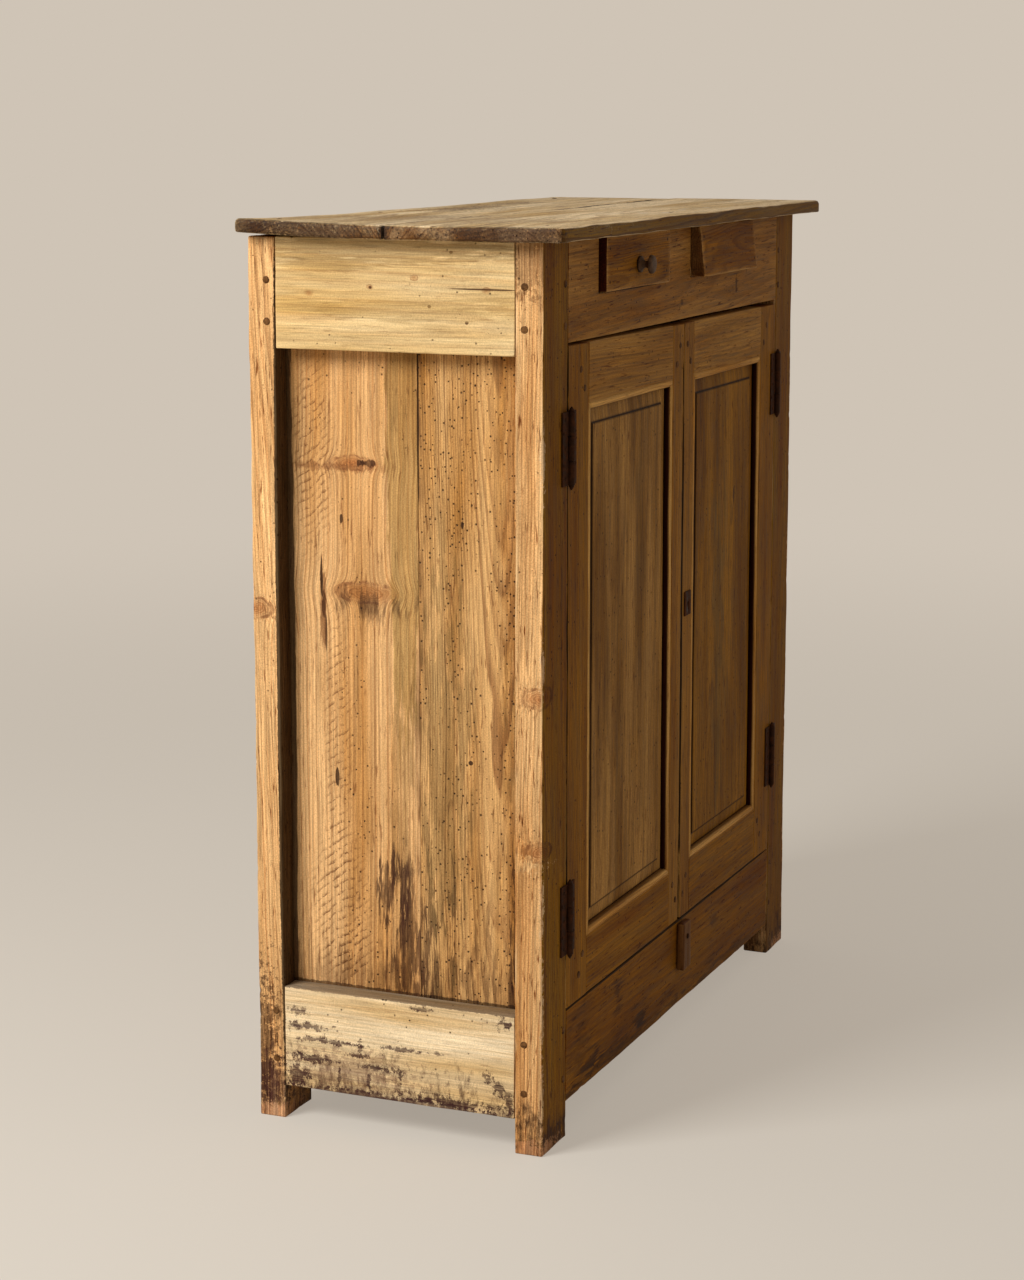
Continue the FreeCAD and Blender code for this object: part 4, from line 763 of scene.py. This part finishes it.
# Doors: two pegged frames of stiles and rails round raised panels. The bevelled margin of each
# panel was cut with a fielding plane; a planed moulding is mitred round it, its hollow darkened with
# depth as painted shade, with some dirt.
DOOR_ARRIS, EDGE_DEEP, EDGE_HIGH, MEETING_UP, POST_UP = 1.3 * MM, 9 * MM, 640 * MM, 400 * MM, 600 * MM
meeting_x = (span("door_left_meeting_stile")[1] + span("door_right_meeting_stile")[0])[X] / 2
# Painted shade, with some dirt, in the gaps at the meeting stiles, beside the posts and under the doors
door_gap_shade = [((x, front_y, z), (wide, EDGE_DEEP, EDGE_HIGH), GAP_SHADE, 0.95, 0.2) for x, z, wide in (
    (meeting_x, MEETING_UP, 4.8 * MM), (left_post, POST_UP, 2.6 * MM), (right_post, POST_UP, 2.6 * MM))]
behind_meeting = (meeting_x, front_y + 17 * MM, MEETING_UP)
door_gap_shade.append((behind_meeting, (9 * MM, 16.5 * MM, EDGE_HIGH), GAP_SHADE, 0.95, 0.2))
door_foot = span("door_left_bottom_rail")[0][Z]
door_gap_shade.append(((0, front_y, door_foot), (post_x, EDGE_DEEP, GAP_SHADE_HIGH), GAP_SHADE, 0.9, 0.2))
panel_stains = on_front([
    (190, 560, 26, 330, "#6e5a38", 0.55, 2.0), (255, 763, 4, 11, "#3a2412", 0.8, 1.2),
    (248, 735, 5, 16, "#5c4020", 0.6, 1.6), (-305, 528, 4, 20, "#4a2e14", 0.7, 1.6),
    (-150, 700, 12, 200, "#93703c", 0.4, 2.4), (-230, 400, 14, 120, "#8a6636", 0.4, 2.4)])
# Waxed pine: quiet brown frames, streaky panels with a black line at the bevel and a dark margin by the
# moulding, both painted shade with some dirt, and pale worn mouldings with painted shade in the hollow
door_pine = pine("doors_brown_pine", "#d8a868", "#8a5a2c", FRONT_TINT, 5 * MM, line=0.45, worm=0.15,
                 wander=30 * MM, dirt=0.8, stains=door_gap_shade, **FRONT_FINISH_AND_SHADE)
panel_pine = pine("door_panels_brown_pine", "#dfb072", "#96652f", "#b4a684", 5.4 * MM, line=0.45, worm=0.15,
                  end="#3c2612", patina=FRONT_PATINA_AND_SHADE, soaked=1.0, dirt=0.8, grit=1.3, streaks=0.4,
                  gloss=FRONT_GLOSS, stains=panel_stains)
moulding_pine = pine("mouldings_paint_worn_pine", "#f0c488", "#a87038", "#dcc8a0", 3 * MM, line=0.5, worm=0,
                     end="#3f2416", patina="#d8c48c", soaked=1.0, gloss=FRONT_GLOSS)
PANEL_STEPS = np.array([(0, 10), (11, 10), (28.5, 8), (30, 7.8), (31, 6.2), (32.5, 6)]) * MM
PANEL_LINES = (9.2 + np.array((10, 12, 20, 27, 28.5, 29.5, 30.5, 31.5, 33))) * MM
BEVEL_LINE, BEVEL_WIDE, PANEL_EDGE, EDGE_SOFT = 30 * MM, 2 * MM, 12 * MM, 1.5 * MM
MOULDING = np.array([(0, 9.5), (0, 1.6), (0.7, 1.4), (1.3, 1.6), (1.8, 0.9), (2.6, 0.35), (4.2, 0.1),
                     (6.2, 0.3), (8.0, 1.1), (9.3, 2.4), (9.8, 3.6), (10, 9.5)]) * MM
# The share of painted shade in each moulding's hollow, bottom strip first: it faces up to the lamp and gets
# less
HOLLOW_SHADE, STRIP_STEPS, STRIP_WAVER, STRIP_WAVE = (0.6, 1.0, 1.0, 1.0), 28, 0.25 * MM, 120 * MM
STRIP_FACE, HOLLOW_FROM, HOLLOW_SOFT, STRIP_PATINA_AND_SHADE = 5 * MM, 1.2 * MM, 1.5 * MM, 0.8


def mitred_strip(start, end, into, seed, soot):
    """A moulding with mitred ends: its section, as (distance in, depth), goes from one corner of the frame to
    the other, and each of its points stops short of the corner by its distance in. The strip wavers a little
    along its length, and its hollow darkens with depth by the share given: painted shade, with some dirt."""
    inset, depth = MOULDING[:, :1], MOULDING[:, 1:] * (0, 1, 0)
    along = np.linspace(0, 1, STRIP_STEPS)[:, None, None]
    run = (end - start) / np.linalg.norm(end - start)
    first, last = start + inset * (into + run) + depth, end + inset * (into - run) + depth
    points = (first[None] * (1 - along) + last[None] * along).reshape(-1, 3)
    deep = np.tile(MOULDING[:, 1], len(along))
    points[:, Y] += STRIP_WAVER * ripple(points, STRIP_WAVE, seed) * (deep < STRIP_FACE)
    ids = np.arange(len(points)).reshape(len(along), -1)
    after = np.roll(ids, -1, axis=1)
    walls = np.stack([ids[:-1], ids[1:], after[1:], after[:-1]], -1).reshape(-1, 4)
    caps = np.stack([ids[0], ids[-1][::-1]])
    if np.dot(np.cross(into, run), (0, 1, 0)) < 0:
        walls, caps = walls[:, ::-1], caps[:, ::-1]
    wear = np.zeros_like(points)
    # Painted shade with some dirt, stronger deeper into the hollow
    wear[:, 1] = soot * np.clip((deep - HOLLOW_FROM) / HOLLOW_SOFT, 0, 1)
    wear[:, 2] = STRIP_PATINA_AND_SHADE
    local = points - start
    log = np.stack([local @ into, local[:, Y], local @ run], 1) + np.array((60, 40, 100 * seed)) * MM
    return {"points": points, "faces": [walls, caps], "log": log, "wear": wear}


DOOR_PEGS = ((15 * MM, 20 * MM), (28 * MM, 45 * MM))
PLANED_OFF, PLANED_REACH, PLANED_FROM = 3.5 * MM, 25 * MM, 600 * MM
FRONT_DARK = {"top_rail": 0.75, "meeting_stile": 0.9, "left_panel": 0.7}
for base, hand in ((400, "left"), (500, "right")):
    body = f"door_{hand}"
    stiles = [span(f"{body}_{kind}_stile") for kind in ("hinge", "meeting")]
    stiles.sort(key=lambda ends: ends[0][X])
    inner = stiles[0][1][X], stiles[1][0][X]
    open_z = span(f"{body}_bottom_rail")[1][Z], span(f"{body}_top_rail")[0][Z]
    for seed, member in enumerate(("hinge_stile", "meeting_stile", "top_rail", "bottom_rail")):
        low, high = span(f"{body}_{member}")
        upright = "stile" in member
        if not upright:
            low[X], high[X] = inner[0] + 0.5 * JOINT, inner[1] - 0.5 * JOINT
        timber = board(low, high, Z if upright else X, base + 10 * seed, DOOR_ARRIS,
                       pith=(55, 40) if upright else None, patina=(0.3, FRONT_DARK.get(member, 1.0)))
        spots, points = timber["sharp"], timber["points"]
        if member != "bottom_rail":
            from_hinge = np.clip((spots[:, X] - left_post) / (meeting_x - left_post), 0, 1)
            near_top = np.clip(1 - (high[Z] - spots[:, Z]) / PLANED_REACH, 0, 1)
            points[:, Z] -= PLANED_OFF * from_hinge * near_top
        if member == "meeting_stile":
            low_down = np.clip((PLANED_FROM - spots[:, Z]) / (PLANED_FROM - low[Z]), 0, 1)
            near_edge = np.clip(1 - np.abs(spots[:, X] - meeting_x) / PLANED_REACH, 0, 1)
            points[:, X] -= np.sign(meeting_x - spots[:, X]) * PLANED_OFF * low_down * near_edge
        piece(f"{body}_{member}", [timber], door_pine, body)
    low, high = span(f"{body}_panel")
    lines = [np.concatenate([low[axis] + PANEL_LINES, high[axis] - PANEL_LINES]) for axis in (X, Z)]
    slab = board(low, high, Z, base + 50, 0.8 * MM, cell=16 * MM, pith=(40, 80), sway=0.2 * MM,
                 patina=(0.3, FRONT_DARK.get(f"{hand}_panel", 1.0)), extra=(lines[0], (), lines[1]))
    spots = slab["sharp"]
    inset = np.min([spots[:, X] - inner[0], inner[1] - spots[:, X], spots[:, Z] - open_z[0],
                    open_z[1] - spots[:, Z]], axis=0)
    facing = spots[:, Y] - low[Y] < FLUSH
    slab["points"][facing, Y] += (front_y + np.interp(inset, *PANEL_STEPS.T) - low[Y])[facing]
    # Painted shade with some dirt on the panel's face: a dark line at the bevel's step and a dark margin by
    # the moulding, carried in the end grain's place
    darkening = np.maximum(np.clip(1.2 - np.abs(inset - BEVEL_LINE) / BEVEL_WIDE, 0, 1),
                       np.clip((PANEL_EDGE - inset) / EDGE_SOFT, 0, 1))
    slab["wear"][:, :2] = np.outer(facing * darkening, (0, 1))
    piece(f"{body}_panel", [slab], panel_pine, body)
    corners = [np.array((inner[right], front_y, open_z[top]))
               for right, top in ((0, 0), (1, 0), (1, 1), (0, 1))]
    ways = np.array(((0, 0, 1), (-1, 0, 0), (0, 0, -1), (1, 0, 0)), float)
    strips = [mitred_strip(corners[n], corners[(n + 1) % 4], ways[n], base + n, soot)
              for n, soot in enumerate(HOLLOW_SHADE)]
    piece(f"{body}_mouldings", strips, moulding_pine, body)
    spots = [((inner[end] + (2 * end - 1) * across, front_y, open_z[top] + (2 * top - 1) * up), Y, -1)
             for end in (0, 1) for top in (0, 1) for across, up in DOOR_PEGS]
    piece(f"{body}_pegs", [peg(*spot, base + n) for n, spot in enumerate(spots)], peg_oak, body)

# Hinges: forged leaves nailed on the face of door and post, with a three-part barrel on a pin
# that ends in small points. Black scale with rust along the edges.
HINGE_HIGH, LEAF_WIDE, LEAF_THICK, LEAF_CLEAR, KNUCKLE = 94 * MM, 23 * MM, 2.4 * MM, 5.4 * MM, 4.5 * MM
KNUCKLE_SOFT, KNUCKLE_GAP, LEAF_ARRIS, STRAP_ARRIS, LEAF_CELL = 0.6 * MM, 0.5 * MM, 0.7 * MM, 0.5 * MM, 5 * MM
LEAF_NAIL = np.array([(-1, 0), (-1, 2.6), (0.4, 2.4), (1.0, 1.2), (1.1, 0)]) * MM
LEAF_NAIL_SPOTS = ((0.5, 0.1), (0.8, 0.28), (0.5, 0.5), (0.8, 0.72), (0.5, 0.9))
PIN_POINT = np.array([(6, 0), (6, 0.8), (3, 2.6), (1, 3.6), (0, 3.2), (0, 2)]) * MM
hinge_iron = black_iron("hinges_black_iron", 0.6)
third = HINGE_HIGH / 3


def barrel(x, y, low, high):
    """A hinge knuckle: a tube's outside with softly rounded ends."""
    inner = KNUCKLE - KNUCKLE_SOFT
    profile = [(low, 0), (low, inner), (low + KNUCKLE_SOFT, KNUCKLE), (high - KNUCKLE_SOFT, KNUCKLE),
               (high, inner), (high, 0)]
    return turned(profile, (x, y, 0), Z, 1, 20)


def leaf(x, y, side, low, knuckles, seed):
    """One leaf: a plate clear of the barrel, a strap to each knuckle, the knuckles, and five nail heads."""
    near, far = sorted((x + side * LEAF_CLEAR, x + side * LEAF_WIDE))
    plate = [board((near, front_y - LEAF_THICK, low), (far, front_y, low + HINGE_HIGH), Z, seed, LEAF_ARRIS,
                   LEAF_CELL, sway=0.15 * MM)]
    near, far = sorted((x + side * 0.5 * KNUCKLE, x + side * (LEAF_CLEAR + 1 * MM)))
    for start, end in knuckles:
        plate.append(board((near, front_y - 1.05 * LEAF_THICK, low + start),
                           (far, front_y - 0.3 * MM, low + end), Z, seed + 3, STRAP_ARRIS, LEAF_CELL, sway=0))
        plate.append(barrel(x, y, low + start, low + end))
    for n, (share, up) in enumerate(LEAF_NAIL_SPOTS):
        across = LEAF_CLEAR + share * (LEAF_WIDE - LEAF_CLEAR)
        spot = (x + side * across, front_y - LEAF_THICK, low + up * HINGE_HIGH)
        plate.append(turned(LEAF_NAIL, spot, Y, -1, NAIL_SIDES, seed + n, 0.1))
    return plate


def joint_place(name):
    """Where a joint's axis stands."""
    return next(joint for joint in frame["joints"] if joint["name"] == name)["pos_m"]


frame_leaves, pins = [], []
outer_knuckles = [(0, third - KNUCKLE_GAP), (2 * third + KNUCKLE_GAP, HINGE_HIGH)]
for hand, side in (("left", -1), ("right", 1)):
    x, y = joint_place(f"door_{hand}_swing")[:2]
    node = f"door_{hand}_hinge_leaves"
    low, high = span(node)
    door_leaves = []
    for n, bottom in enumerate((low[Z], high[Z] - HINGE_HIGH)):
        frame_leaves += leaf(x, y, side, bottom, outer_knuckles, 600 + 10 * n + side)
        door_leaves += leaf(x, y, -side, bottom, [(third, 2 * third)], 650 + 10 * n + side)
        pin = [(bottom - out, wide) for out, wide in PIN_POINT]
        pin += [(bottom + HINGE_HIGH + out, wide) for out, wide in PIN_POINT[::-1]]
        pins.append(turned(pin, (x, y, 0), Z, 1, 14))
    piece(node, door_leaves, hinge_iron, f"door_{hand}")
piece("hinge_frame_leaves", frame_leaves, hinge_iron, "carcass")
piece("hinge_pins", pins, hinge_iron, "carcass")

# Lock: an iron case screwed behind the right meeting stile, with a bolt that slides behind the
# left one, and a small plate round the keyhole in front. All of it is browner than the hinges.
KEYHOLE, KEY_SLOT, PLATE_BEVEL = 3 * MM, 9 * MM, 0.9 * MM
lock_iron = black_iron("lock_brown_iron", 0.9)


def keyhole_plate(low, high):
    """A plate with a keyhole: going round, every point of the keyhole's outline (a round with a slot under
    it) faces one of the plate's; the section between them goes over the front, down the bevelled rim, back
    behind and through."""
    turn = np.linspace(0, 2 * np.pi, 73)[:-1]
    middle, half = (low + high) / 2, (high - low) / 2
    round_ = np.stack([np.cos(turn), np.sin(turn)], 1)
    rim = round_ / np.max(np.abs(round_) / half[[X, Z]], axis=1, keepdims=True)
    drop = np.clip(-np.sin(turn), 0, 1) ** 6
    mouth = round_ * np.stack([KEYHOLE * (1 - 0.5 * drop), KEYHOLE + (KEY_SLOT - KEYHOLE) * drop], 1)
    face = low[Y]
    rows = [(mouth, high[Y]), (mouth, face + 0.3 * MM), (mouth * 1.06, face),
            (rim * (1 - PLATE_BEVEL / half[X]), face), (rim * 0.99, face + 0.5 * PLATE_BEVEL),
            (rim, face + PLATE_BEVEL), (rim, high[Y])]
    points = np.concatenate([np.insert(flat, 1, y, axis=1) for flat, y in rows]) + middle * (1, 0, 1)
    ids = np.arange(len(points)).reshape(len(rows), -1)
    ids = np.concatenate([ids, ids[:1]])
    after = np.roll(ids, -1, axis=1)
    walls = np.stack([ids[:-1], ids[1:], after[1:], after[:-1]], -1).reshape(-1, 4)[:, ::-1]
    return {"points": points, "faces": [walls], "log": points, "wear": np.zeros_like(points)}


piece("escutcheon", [keyhole_plate(*span("escutcheon"))], lock_iron, "door_right")
for node in ("lock_case", "lock_bolt"):
    frame["nodes"][node].data.materials.clear()
    frame["nodes"][node].data.materials.append(lock_iron)

# Drawers: small boxes of thin boards with a thick front, nailed together; the left one has a
# turned knob. The fronts' end grain drank dark stain, and the right front leans back.
DRAWER_BOARD, DRAWER_ARRIS, BOTTOM_ARRIS, FRONT_ARRIS = 10 * MM, 0.8 * MM, 0.6 * MM, 1.5 * MM
RUBBED_SHARE = 0.65
drawer_nails = on_front([(x, z, 2.4, 2.4, "#21130a", 0.95, 0.3) for x, z in (
    (-306, 1155), (-306, 1112), (-88, 1158), (-90, 1116), (50, 1156), (49, 1113), (268, 1157), (270, 1115))])
# Waxed pine, the darkest of the front, with dark nails and nearly black ends; its front face is
# darker partly as painted shade
drawer_pine = pine("drawer_fronts_brown_pine", FRONT_EARLY, "#8a5a2c", FRONT_TINT, 3.6 * MM, line=0.8,
                   worm=0.2, dirt=0.8, end="#5c3320", soaked=1.0, wander=80 * MM, stains=drawer_nails,
                   **FRONT_FINISH_AND_SHADE)
for base, hand, rake, end_dirt in ((700, "left", 0.0, 1.0), (800, "right", 7.5 * MM, 0.75)):
    body = f"drawer_{hand}"
    low, high = span(f"{body}_front")
    tall, behind = high[Z] - low[Z], high[Y] - rake
    front = board(low, (high[X], behind, high[Z]), X, base, FRONT_ARRIS, cell=9 * MM, pith=(15, 40),
                  patina=(0.4, 1))
    front["points"][:, Y] += rake * (front["sharp"][:, Z] - low[Z]) / tall
    front["wear"][:, 1] *= end_dirt
    front["wear"][:, 2] *= 1 - RUBBED_SHARE * front["wear"][:, 0]
    piece(f"{body}_front", [front], drawer_pine, body)
    side_low, side_high = span(f"{body}_sides")
    side_low[Y] = behind
    walls = []
    for n, start in enumerate((side_low[X], side_high[X] - DRAWER_BOARD)):
        wall = board((start, *side_low[1:]), (start + DRAWER_BOARD, *side_high[1:]), Y, base + 20 + 5 * n,
                     DRAWER_ARRIS)
        forward = (side_high[Y] - wall["sharp"][:, Y]) / (side_high[Y] - side_low[Y])
        wall["points"][:, Y] += rake * forward * (wall["sharp"][:, Z] - low[Z]) / tall
        walls.append(wall)
    low, high = span(f"{body}_back")
    inset = np.array((0.5 * DRAWER_BOARD, 0, 0))
    back = board(low + inset, high - inset, X, base + 40, DRAWER_ARRIS)
    bottom = board(*span(f"{body}_bottom"), X, base + 50, BOTTOM_ARRIS, sway=0.1 * MM)
    for part, boards in (("sides", walls), ("back", [back]), ("bottom", [bottom])):
        piece(f"{body}_{part}", boards, inside_pine, body)

# Knob: turned hardwood, a base and a flat head with a narrow waist between them, nearly black
# from hands, and fixed by a pin that goes through the left drawer's front.
KNOB_BASE, KNOB_NECK, KNOB_HEAD = 11 * MM, 4.5 * MM, 12.5 * MM
# Beech, dark and close grained, with a little shine from hands
knob_wood = pine("knob_dark_beech", "#4f3621", "#332112", "#b8a184", 1.4 * MM, worm=0, gloss=0.2,
                 rubbed="#5c4129")
low, high = span("drawer_knob")
length, middle = high[Y] - low[Y], (low + high) / 2
share = np.linspace(0, 1, 12)
waist = KNOB_NECK + (np.where(share < 0.5, KNOB_BASE, KNOB_HEAD) - KNOB_NECK) * np.abs(2 * share - 1) ** 2.2
knob_profile = [(0, 0), (0, KNOB_BASE), (0.1 * length, KNOB_BASE)]
knob_profile += [((0.13 + 0.62 * s) * length, r) for s, r in zip(share, waist)]
knob_profile += [(out * length, r * KNOB_HEAD)
                 for out, r in ((0.8, 1), (0.9, 0.97), (0.97, 0.85), (1, 0.5), (1, 0))]
knob = turned(knob_profile, (middle[X], high[Y], middle[Z]), Y, -1, 40)
piece("drawer_knob", [knob], knob_wood, "drawer_left")

# Turn button: a whittled batten of dark pine on a nail in the front rail, which turns up over
# both doors to hold them shut.
BUTTON_ARRIS, BUTTON_CELL = 3.5 * MM, 5 * MM
BUTTON_NAIL = [(-30, 0), (-30, 2), (0.2, 2), (0.3, 4.2), (1.4, 3.2), (1.9, 1), (1.9, 0)]
# Pine, brown and worn round, paler on its edges
button_wood = pine("turn_button_dark_pine", "#8a5f35", "#5c3a1d", "#cbb48c", 3 * MM, worm=0.3,
                   rubbed="#a87a48")
low, high = span("turn_button")
button = board(low, high, Z, 901, BUTTON_ARRIS, cell=BUTTON_CELL, patina=(0.5, 1))
piece("turn_button", [button], button_wood, "turn_button")
pivot = joint_place("turn_button_turn")
nail = turned(np.array(BUTTON_NAIL) * MM, (pivot[X], low[Y], pivot[Z]), Y, -1, 12, 3, 0.08)
piece("turn_button_nail", [nail], nail_iron, "carcass")

# Studio: a plain pale floor under one large soft lamp from the left and a little behind, a weak
# one in front, and an even pale surround that fills the shade.
FLOOR_PALE, ROOM_PALE, FILL_PALE = "#d9d3c8", "#cfc4b6", "#f4ece2"
FLOOR_GLOW, FILL, FLOOR_HALF, FADE_FROM, FADE_TO = 0.6, 0.36, 30.0, 0.9, 5.0


def seen_directly(add):
    """1 for a ray from the camera, straight or through a gloss or glass, and 0 for light on its way."""
    rays = add("LightPath", ()).node.outputs
    mirrored = add("Math", (rays["Is Glossy Ray"], rays["Is Transmission Ray"]), operation="ADD")
    return add("Math", (rays["Is Camera Ray"], mirrored), operation="ADD")


floor_mesh = bpy.data.meshes.new("studio_floor")
floor_corners = [(x * FLOOR_HALF, y * FLOOR_HALF, 0) for x, y in ((-1, -1), (1, -1), (1, 1), (-1, 1))]
floor_mesh.from_pydata(floor_corners, [], [(0, 1, 2, 3)])
# Matt paint that melts into the pale surround away from the cupboard, and keeps its shadow
floor_paint = bpy.data.materials.new("studio_floor_matt_paint")
add = bare(floor_paint)
away = add("VectorMath", (add("TexCoord", (), out="Object"),), out="Value", operation="LENGTH")
fade = add("MapRange", (away, FADE_FROM, FADE_TO, FLOOR_GLOW), interpolation_type="SMOOTHSTEP")
seen = add("Math", (seen_directly(add), fade), operation="MULTIPLY")
paint = add("BsdfPrincipled", {"Base Color": linear(FLOOR_PALE), "Roughness": 0.8})
glow = add("Emission", {"Color": linear(ROOM_PALE), "Strength": 1.0})
add("OutputMaterial", {"Surface": add("MixShader", (seen, paint, glow))})
floor_mesh.materials.append(floor_paint)
studio_floor = bpy.data.objects.new("studio_floor", floor_mesh)
bpy.context.scene.collection.objects.link(studio_floor)
world = bpy.data.worlds.new("studio_surround")
add = bare(world)
fill, shown = [add("Background", {"Color": linear(pale), "Strength": strength})
               for pale, strength in ((FILL_PALE, FILL), (ROOM_PALE, 1.0))]
add("OutputWorld", {"Surface": add("MixShader", (seen_directly(add), fill, shown))})
bpy.context.scene.world = world


def aimed(thing, spot, target):
    """Put a lamp or camera at a spot and turn it to face a target: back and up give its three axes."""
    back = np.array(spot, float) - np.array(target, float)
    back /= np.linalg.norm(back)
    side = np.cross((0, 0, 1), back)
    side /= np.linalg.norm(side)
    turn = np.eye(4)
    turn[:3, :3] = np.stack([side, np.cross(back, side), back], 1)
    turn[:3, 3] = spot
    thing.matrix_world = Matrix(turn.tolist())
    bpy.context.scene.collection.objects.link(thing)


lamps = {"window_lamp": (1.5, 148, (-2.8, 1.5, 2.75), (-0.5, 0.0, 0.6)),
         "front_lamp": (2.4, 16, (0.9, -4.6, 2.5), (0.0, 0.0, 0.7))}
for name, (wide, watts, spot, target) in lamps.items():
    lamp = bpy.data.lights.new(name, "AREA")
    lamp.size = wide
    lamp.energy = watts
    aimed(bpy.data.objects.new(name, lamp), spot, target)

# Camera: at the photograph's height and angle, a long lens from the left front corner, looking
# down a little, with a small shift that centres the cupboard.
EYE, YAW, PITCH = np.array((-3.6676, -1.4717, 1.3391)), math.radians(67.211), math.radians(9.326)
camera = bpy.data.cameras.new("camera")
camera.sensor_width = 36
camera.lens = 78.09
camera.shift_y = -0.0625
camera.clip_end = 100
look = np.array((math.sin(YAW) * math.cos(PITCH), math.cos(YAW) * math.cos(PITCH), -math.sin(PITCH)))
view = bpy.data.objects.new("camera", camera)
aimed(view, EYE, EYE + look)
bpy.context.scene.camera = view
bpy.context.scene.view_settings.view_transform = "Standard"
